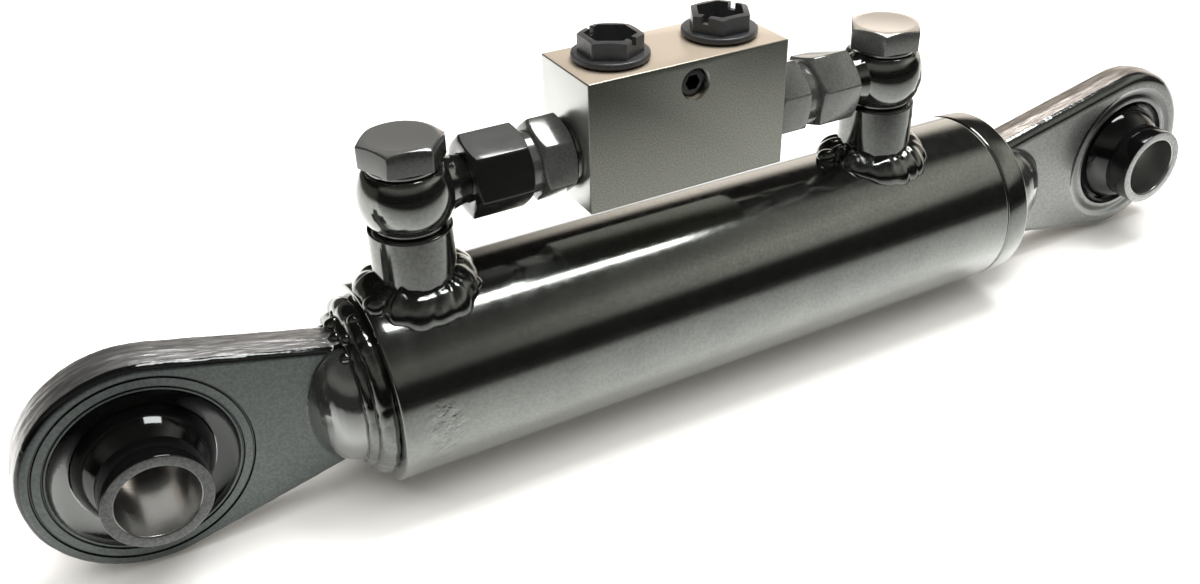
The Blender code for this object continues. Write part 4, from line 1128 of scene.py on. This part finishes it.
# Valve block

VALVE_BORE_R = 7 * MM
END_BORE_R = 8.6 * MM
END_BORE_DEPTH = 10.3 * MM
PORT_BORE_R = 8.4 * MM
PORT_BORE_DEPTH = 14 * MM
SCREW_HOLE_R = 5.2 * MM
SCREW_HOLE_EDGE = 0.5 * MM
SCREW_HOLE_DEPTH = 12 * MM
SCREW_KEY = 5 * MM
SCREW_KEY_DEPTH = 4 * MM
PLUG_R = 8.1 * MM
PLUG_FLANGE_R = 13.3 * MM
PLUG_RIM_R = PLUG_FLANGE_R - 1.2 * MM
PLUG_RIM = 0.7 * MM
PLUG_FLANGE = 2.6 * MM
PLUG_AF = 19.5 * MM
PLUG_HOLLOW_AF = 15.4 * MM
PLUG_HOLLOW_LOW = -4 * MM
PLUG_SLOT = (16 * MM, 1.3 * MM, 2.6 * MM)
PLUG_SLOT_TURN = radians(24)
PLUG_TURN = {"base": radians(88), "rod": radians(1)}


def box_mesh(low, high):
    ring = [(low[0], low[1]), (high[0], low[1]), (high[0], high[1]), (low[0], high[1])]
    return skinned([[(x, y, z) for x, y in ring] for z in (low[2], high[2])])


def bore_out(piece, steps, axis, place, turn=0):
    """Cuts a stepped hole, whose steps are (depth, radius) pairs that end on the axis."""
    outline = [(steps[0][0], 0)] + steps + [(steps[-1][0], 0)]
    cut(piece, lathe("bore", outline, axis, TURN_SMALL, place, turn))


def make_block():
    block = make_object("valve_body", box_mesh(BLOCK_LOW, BLOCK_HIGH))
    soften(block, 0.55 * MM, 3)
    screw = centre_of("front_plug_screw")
    front, top = BLOCK_LOW.y, BLOCK_HIGH.z
    wide = SCREW_HOLE_R + SCREW_HOLE_EDGE
    bore_out(block, [(front - OVERRUN, wide), (front - 0.01 * MM, wide), (front + 0.45 * MM, SCREW_HOLE_R),
                     (front + SCREW_HOLE_DEPTH, SCREW_HOLE_R)], AXIS_Y, (screw.x, 0, screw.z))
    middle = (BLOCK_HIGH.x - BLOCK_LOW.x) / 2 + OVERRUN
    end = [(-OVERRUN, END_BORE_R), (END_BORE_DEPTH, END_BORE_R), (END_BORE_DEPTH, VALVE_BORE_R),
           (middle, VALVE_BORE_R)]
    for name, side in PORTS:
        bore_out(block, [(top + OVERRUN, PORT_BORE_R), (top - PORT_BORE_DEPTH, PORT_BORE_R)], AXIS_Z,
                 (centre_of(name + "_port_plug").x, 0, 0))
        bore_out(block, end, AXIS_X, (outer_x("valve_block", side), 0, port_z(name)), turn_of(side))
    stand_in(block, "valve_block", "valve_paint")


def make_screw():
    low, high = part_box("front_plug_screw")
    middle = (low + high) / 2
    place = (middle.x, low.y, middle.z)
    radius, length = (high.x - low.x) / 2, high.y - low.y
    outline = [(0, 0), (0, radius, 0.5 * MM), (length, radius, 0.2 * MM), (length, 0)]
    screw = lathe("hex_socket_screw", outline, AXIS_Y, TURN_SMALL, place)
    corner = SCREW_KEY / sqrt(3)
    rings = [[(corner * cos(tau * side / 6), y, corner * sin(tau * side / 6)) for side in range(6)]
             for y in (-OVERRUN, SCREW_KEY_DEPTH)]
    cut(screw, make_object("socket", skinned(rings), place))
    stand_in(screw, "front_plug_screw", "screw_paint")


def make_plug(name):
    """A plastic plug: a flanged sleeve, and a hollow hexagon with a slot across it."""
    node = name + "_port_plug"
    low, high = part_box(node)
    base = BLOCK_HIGH.z + SEAT
    foot, top = low.z - base, high.z - base
    place = ((low.x + high.x) / 2, 0, base)
    turn = PLUG_TURN[name]
    outline = [(foot, 0), (foot, PLUG_R, 0.6 * MM), (0, PLUG_R), (0, PLUG_RIM_R, 0.1 * MM),
               (PLUG_RIM, PLUG_RIM_R, 0.1 * MM), (PLUG_RIM, PLUG_FLANGE_R, 0.3 * MM),
               (PLUG_FLANGE, PLUG_FLANGE_R, 0.7 * MM), (PLUG_FLANGE, 0)]
    plug = lathe(name + "_plug", outline, AXIS_Z, TURN, place, turn)
    head = hexagon(PLUG_AF, PLUG_FLANGE - 0.4 * MM, top, AXIS_Z, 0, slope=0.25, low_chamfer=False)
    cut(plug, make_object("head", head, place, turn), 'UNION')
    hollow = [[(point.x, point.y, z) for point in hex_outline(PLUG_HOLLOW_AF, 0)]
              for z in (PLUG_HOLLOW_LOW, top + OVERRUN)]
    cut(plug, make_object("hollow", skinned(hollow), place, turn))
    length, half, depth = PLUG_SLOT
    slot = box_mesh((-length, -half, top - depth), (length, half, top + OVERRUN))
    cut(plug, make_object("slot", slot, place, turn + PLUG_SLOT_TURN))
    soften(plug, 0.22 * MM, 2, radians(35))
    stand_in(plug, node, "plug_plastic")


# Stage, lights and camera

CAMERA_PLACE = (-0.22905, -0.3286, 0.2803)
CAMERA_AZIMUTH = 0.4976
CAMERA_ELEVATION = 0.5615
CAMERA_ROLL = -0.0219
CAMERA_LENS = 36.053
CAMERA_NEAR = 0.01
SENSOR = 36

PAPER = (0.97, 0.963, 0.95)
FLOOR_HALF = 25
FLOOR_THICK = 0.02
FLOOR_GAP = 0.05 * MM
FLOOR_GLOW = 0.06
GLOW_TINT = (1, 0.955, 0.87)
FLOOR_FAR = (0.9, 2.5)
MIRROR_GLOW = 0.1
MIRROR_REACH = 0.5

# What mirrors see of the floor, from below the part to its front
MIRROR_LEVELS = ((0, 1), (0.07, 1.1), (0.11, 0.8), (0.16, 0.6), (0.24, 0.47), (0.46, 0.33), (0.8, 0.1),
                 (1, 0))

# Light in the room by the direction's height, and its factor from left to right
FRONT_ROOM = ((0, 0), (0.3, 0), (0.42, 0.24), (0.6, 0.3), (0.75, 0.13), (0.9, 0.05))
BACK_ROOM = ((0, 0.9), (0.25, 0.9), (0.42, 0.01), (0.85, 0.01), (1, 0.05))
FRONT_ACROSS = (0.25, 0.7, 0.9, 2.6, 'SMOOTHSTEP')
BACK_ACROSS = (0.25, 0.55, 0.15, 1.7, 'SMOOTHSTEP')
FRONT_TINT = (1, 1, 0.9)
BACK_TINT = (1, 0.9, 0.8)

# Place, aim, size, power and colour
WINDOW = ((0.42, 0.17, 1.25), (0.42, 0.17, 0), 0.62, 17, (1, 1, 1))
FILL = ((-0.15, -0.05, 1.6), (-0.05, 0, 0), 2.4, 50, (1, 0.985, 0.96))


def make_camera():
    data = bpy.data.cameras.new("camera")
    data.lens = CAMERA_LENS
    data.sensor_width = SENSOR
    data.clip_start = CAMERA_NEAR
    camera = bpy.data.objects.new("camera", data)
    bpy.context.scene.collection.objects.link(camera)
    aim = Euler((pi / 2 - CAMERA_ELEVATION, 0, -CAMERA_AZIMUTH)).to_matrix().to_4x4()
    roll = Matrix.Rotation(CAMERA_ROLL, 4, 'Z')
    camera.matrix_world = Matrix.Translation(CAMERA_PLACE) @ aim @ roll
    bpy.context.scene.camera = camera


def area_light(name, place, aim, size, power, colour):
    data = bpy.data.lights.new(name, 'AREA')
    data.shape = 'RECTANGLE'
    data.size = data.size_y = size
    data.energy = power
    data.color = colour
    lamp = bpy.data.objects.new(name, data)
    bpy.context.scene.collection.objects.link(lamp)
    lamp.location = place
    lamp.rotation_mode = 'QUATERNION'
    lamp.rotation_quaternion = (Vector(aim) - Vector(place)).to_track_quat('-Z', 'Y')
    return lamp


def make_floor():
    """White paper that keeps the shadow. Mirrors see it fade to black towards the front."""
    low, high = (-FLOOR_HALF, -FLOOR_HALF, -FLOOR_THICK), (FLOOR_HALF, FLOOR_HALF, 0)
    floor = make_object("floor", box_mesh(low, high), (0, 0, -FLOOR_GAP))
    paper = Finish("floor_paper", PAPER, 0.7)
    path = paper.add("ShaderNodeLightPath").outputs
    away = paper.away((1, 1, 0))
    fade = paper.levels(paper.times(paper.split(paper.coords)["Y"], -1 / MIRROR_REACH), MIRROR_LEVELS)
    mirror = paper.plus(path["Is Glossy Ray"], path["Is Transmission Ray"])
    paper.surface(Base_Color=paper.mixed(mirror, PAPER, fade))
    seen = paper.plus(paper.times(path["Is Camera Ray"], paper.ranged(away, *FLOOR_FAR, FLOOR_GLOW, 1)),
                      paper.times(mirror, paper.times(fade, MIRROR_GLOW)))
    glow = paper.add("ShaderNodeEmission", Color=(*GLOW_TINT, 1), Strength=seen)
    both = paper.add("ShaderNodeAddShader")
    paper.feed(both.inputs[0], paper.shader.outputs[0])
    paper.feed(both.inputs[1], glow.outputs[0])
    paper.feed(paper.tree.nodes["Material Output"].inputs["Surface"], both.outputs[0])
    floor.data.materials.append(paper.material)


def make_world():
    """A dim room: dark in front at eye level, and pale behind, most of all on the right."""
    world = bpy.data.worlds.new("studio")
    bpy.context.scene.world = world
    world.use_nodes = True
    room = Nodes(world.node_tree)
    x, y, z = room.split(room.add("ShaderNodeTexCoord").outputs["Generated"])
    front = room.tinted(room.levels(z, FRONT_ROOM), room.ranged(x, *FRONT_ACROSS), FRONT_TINT)
    back = room.tinted(room.levels(z, BACK_ROOM), room.ranged(x, *BACK_ACROSS), BACK_TINT)
    blend = room.add("ShaderNodeMix", {"data_type": 'VECTOR'}, Factor=room.step(y, -0.12, 0.12))
    room.feed(blend.inputs[4], front)
    room.feed(blend.inputs[5], back)
    room.feed(room.tree.nodes["Background"].inputs["Color"], blend.outputs[1])


def make_stage():
    make_floor()
    make_world()
    area_light("window", *WINDOW)
    area_light("fill", *FILL).visible_glossy = False
    bpy.context.scene.view_settings.view_transform = 'Standard'


def finish_inner_pieces():
    """Each CAD node that stays gets its slot's finished material."""
    for node, piece in frame["nodes"].items():
        if not piece.hide_render:
            piece.data.materials.clear()
            piece.data.materials.append(KIT[SLOT_OF[node]])


def main():
    make_camera()
    make_eyes()
    make_ball("base_ball_joint", "base_ball", BASE_PIN, "ball_steel")
    make_ball("rod_ball_joint", "rod_ball", ROD_PIN, "rod_ball_steel")
    make_barrel()
    make_cap()
    make_gland()
    make_wiper()
    make_rod()
    make_neck_weld()
    for name, side in PORTS:
        make_boss(name)
        make_bolt(name)
        make_washer(name + "_seal_washer_lower", AXIS_Z)
        make_washer(name + "_seal_washer_upper", AXIS_Z)
        make_banjo(name, side)
        make_nut(name, side)
        make_adapter(name, side)
        make_washer(name + "_adapter_seal", AXIS_X)
    make_block()
    make_screw()
    make_plug("base")
    make_plug("rod")
    finish_inner_pieces()
    make_stage()


main()
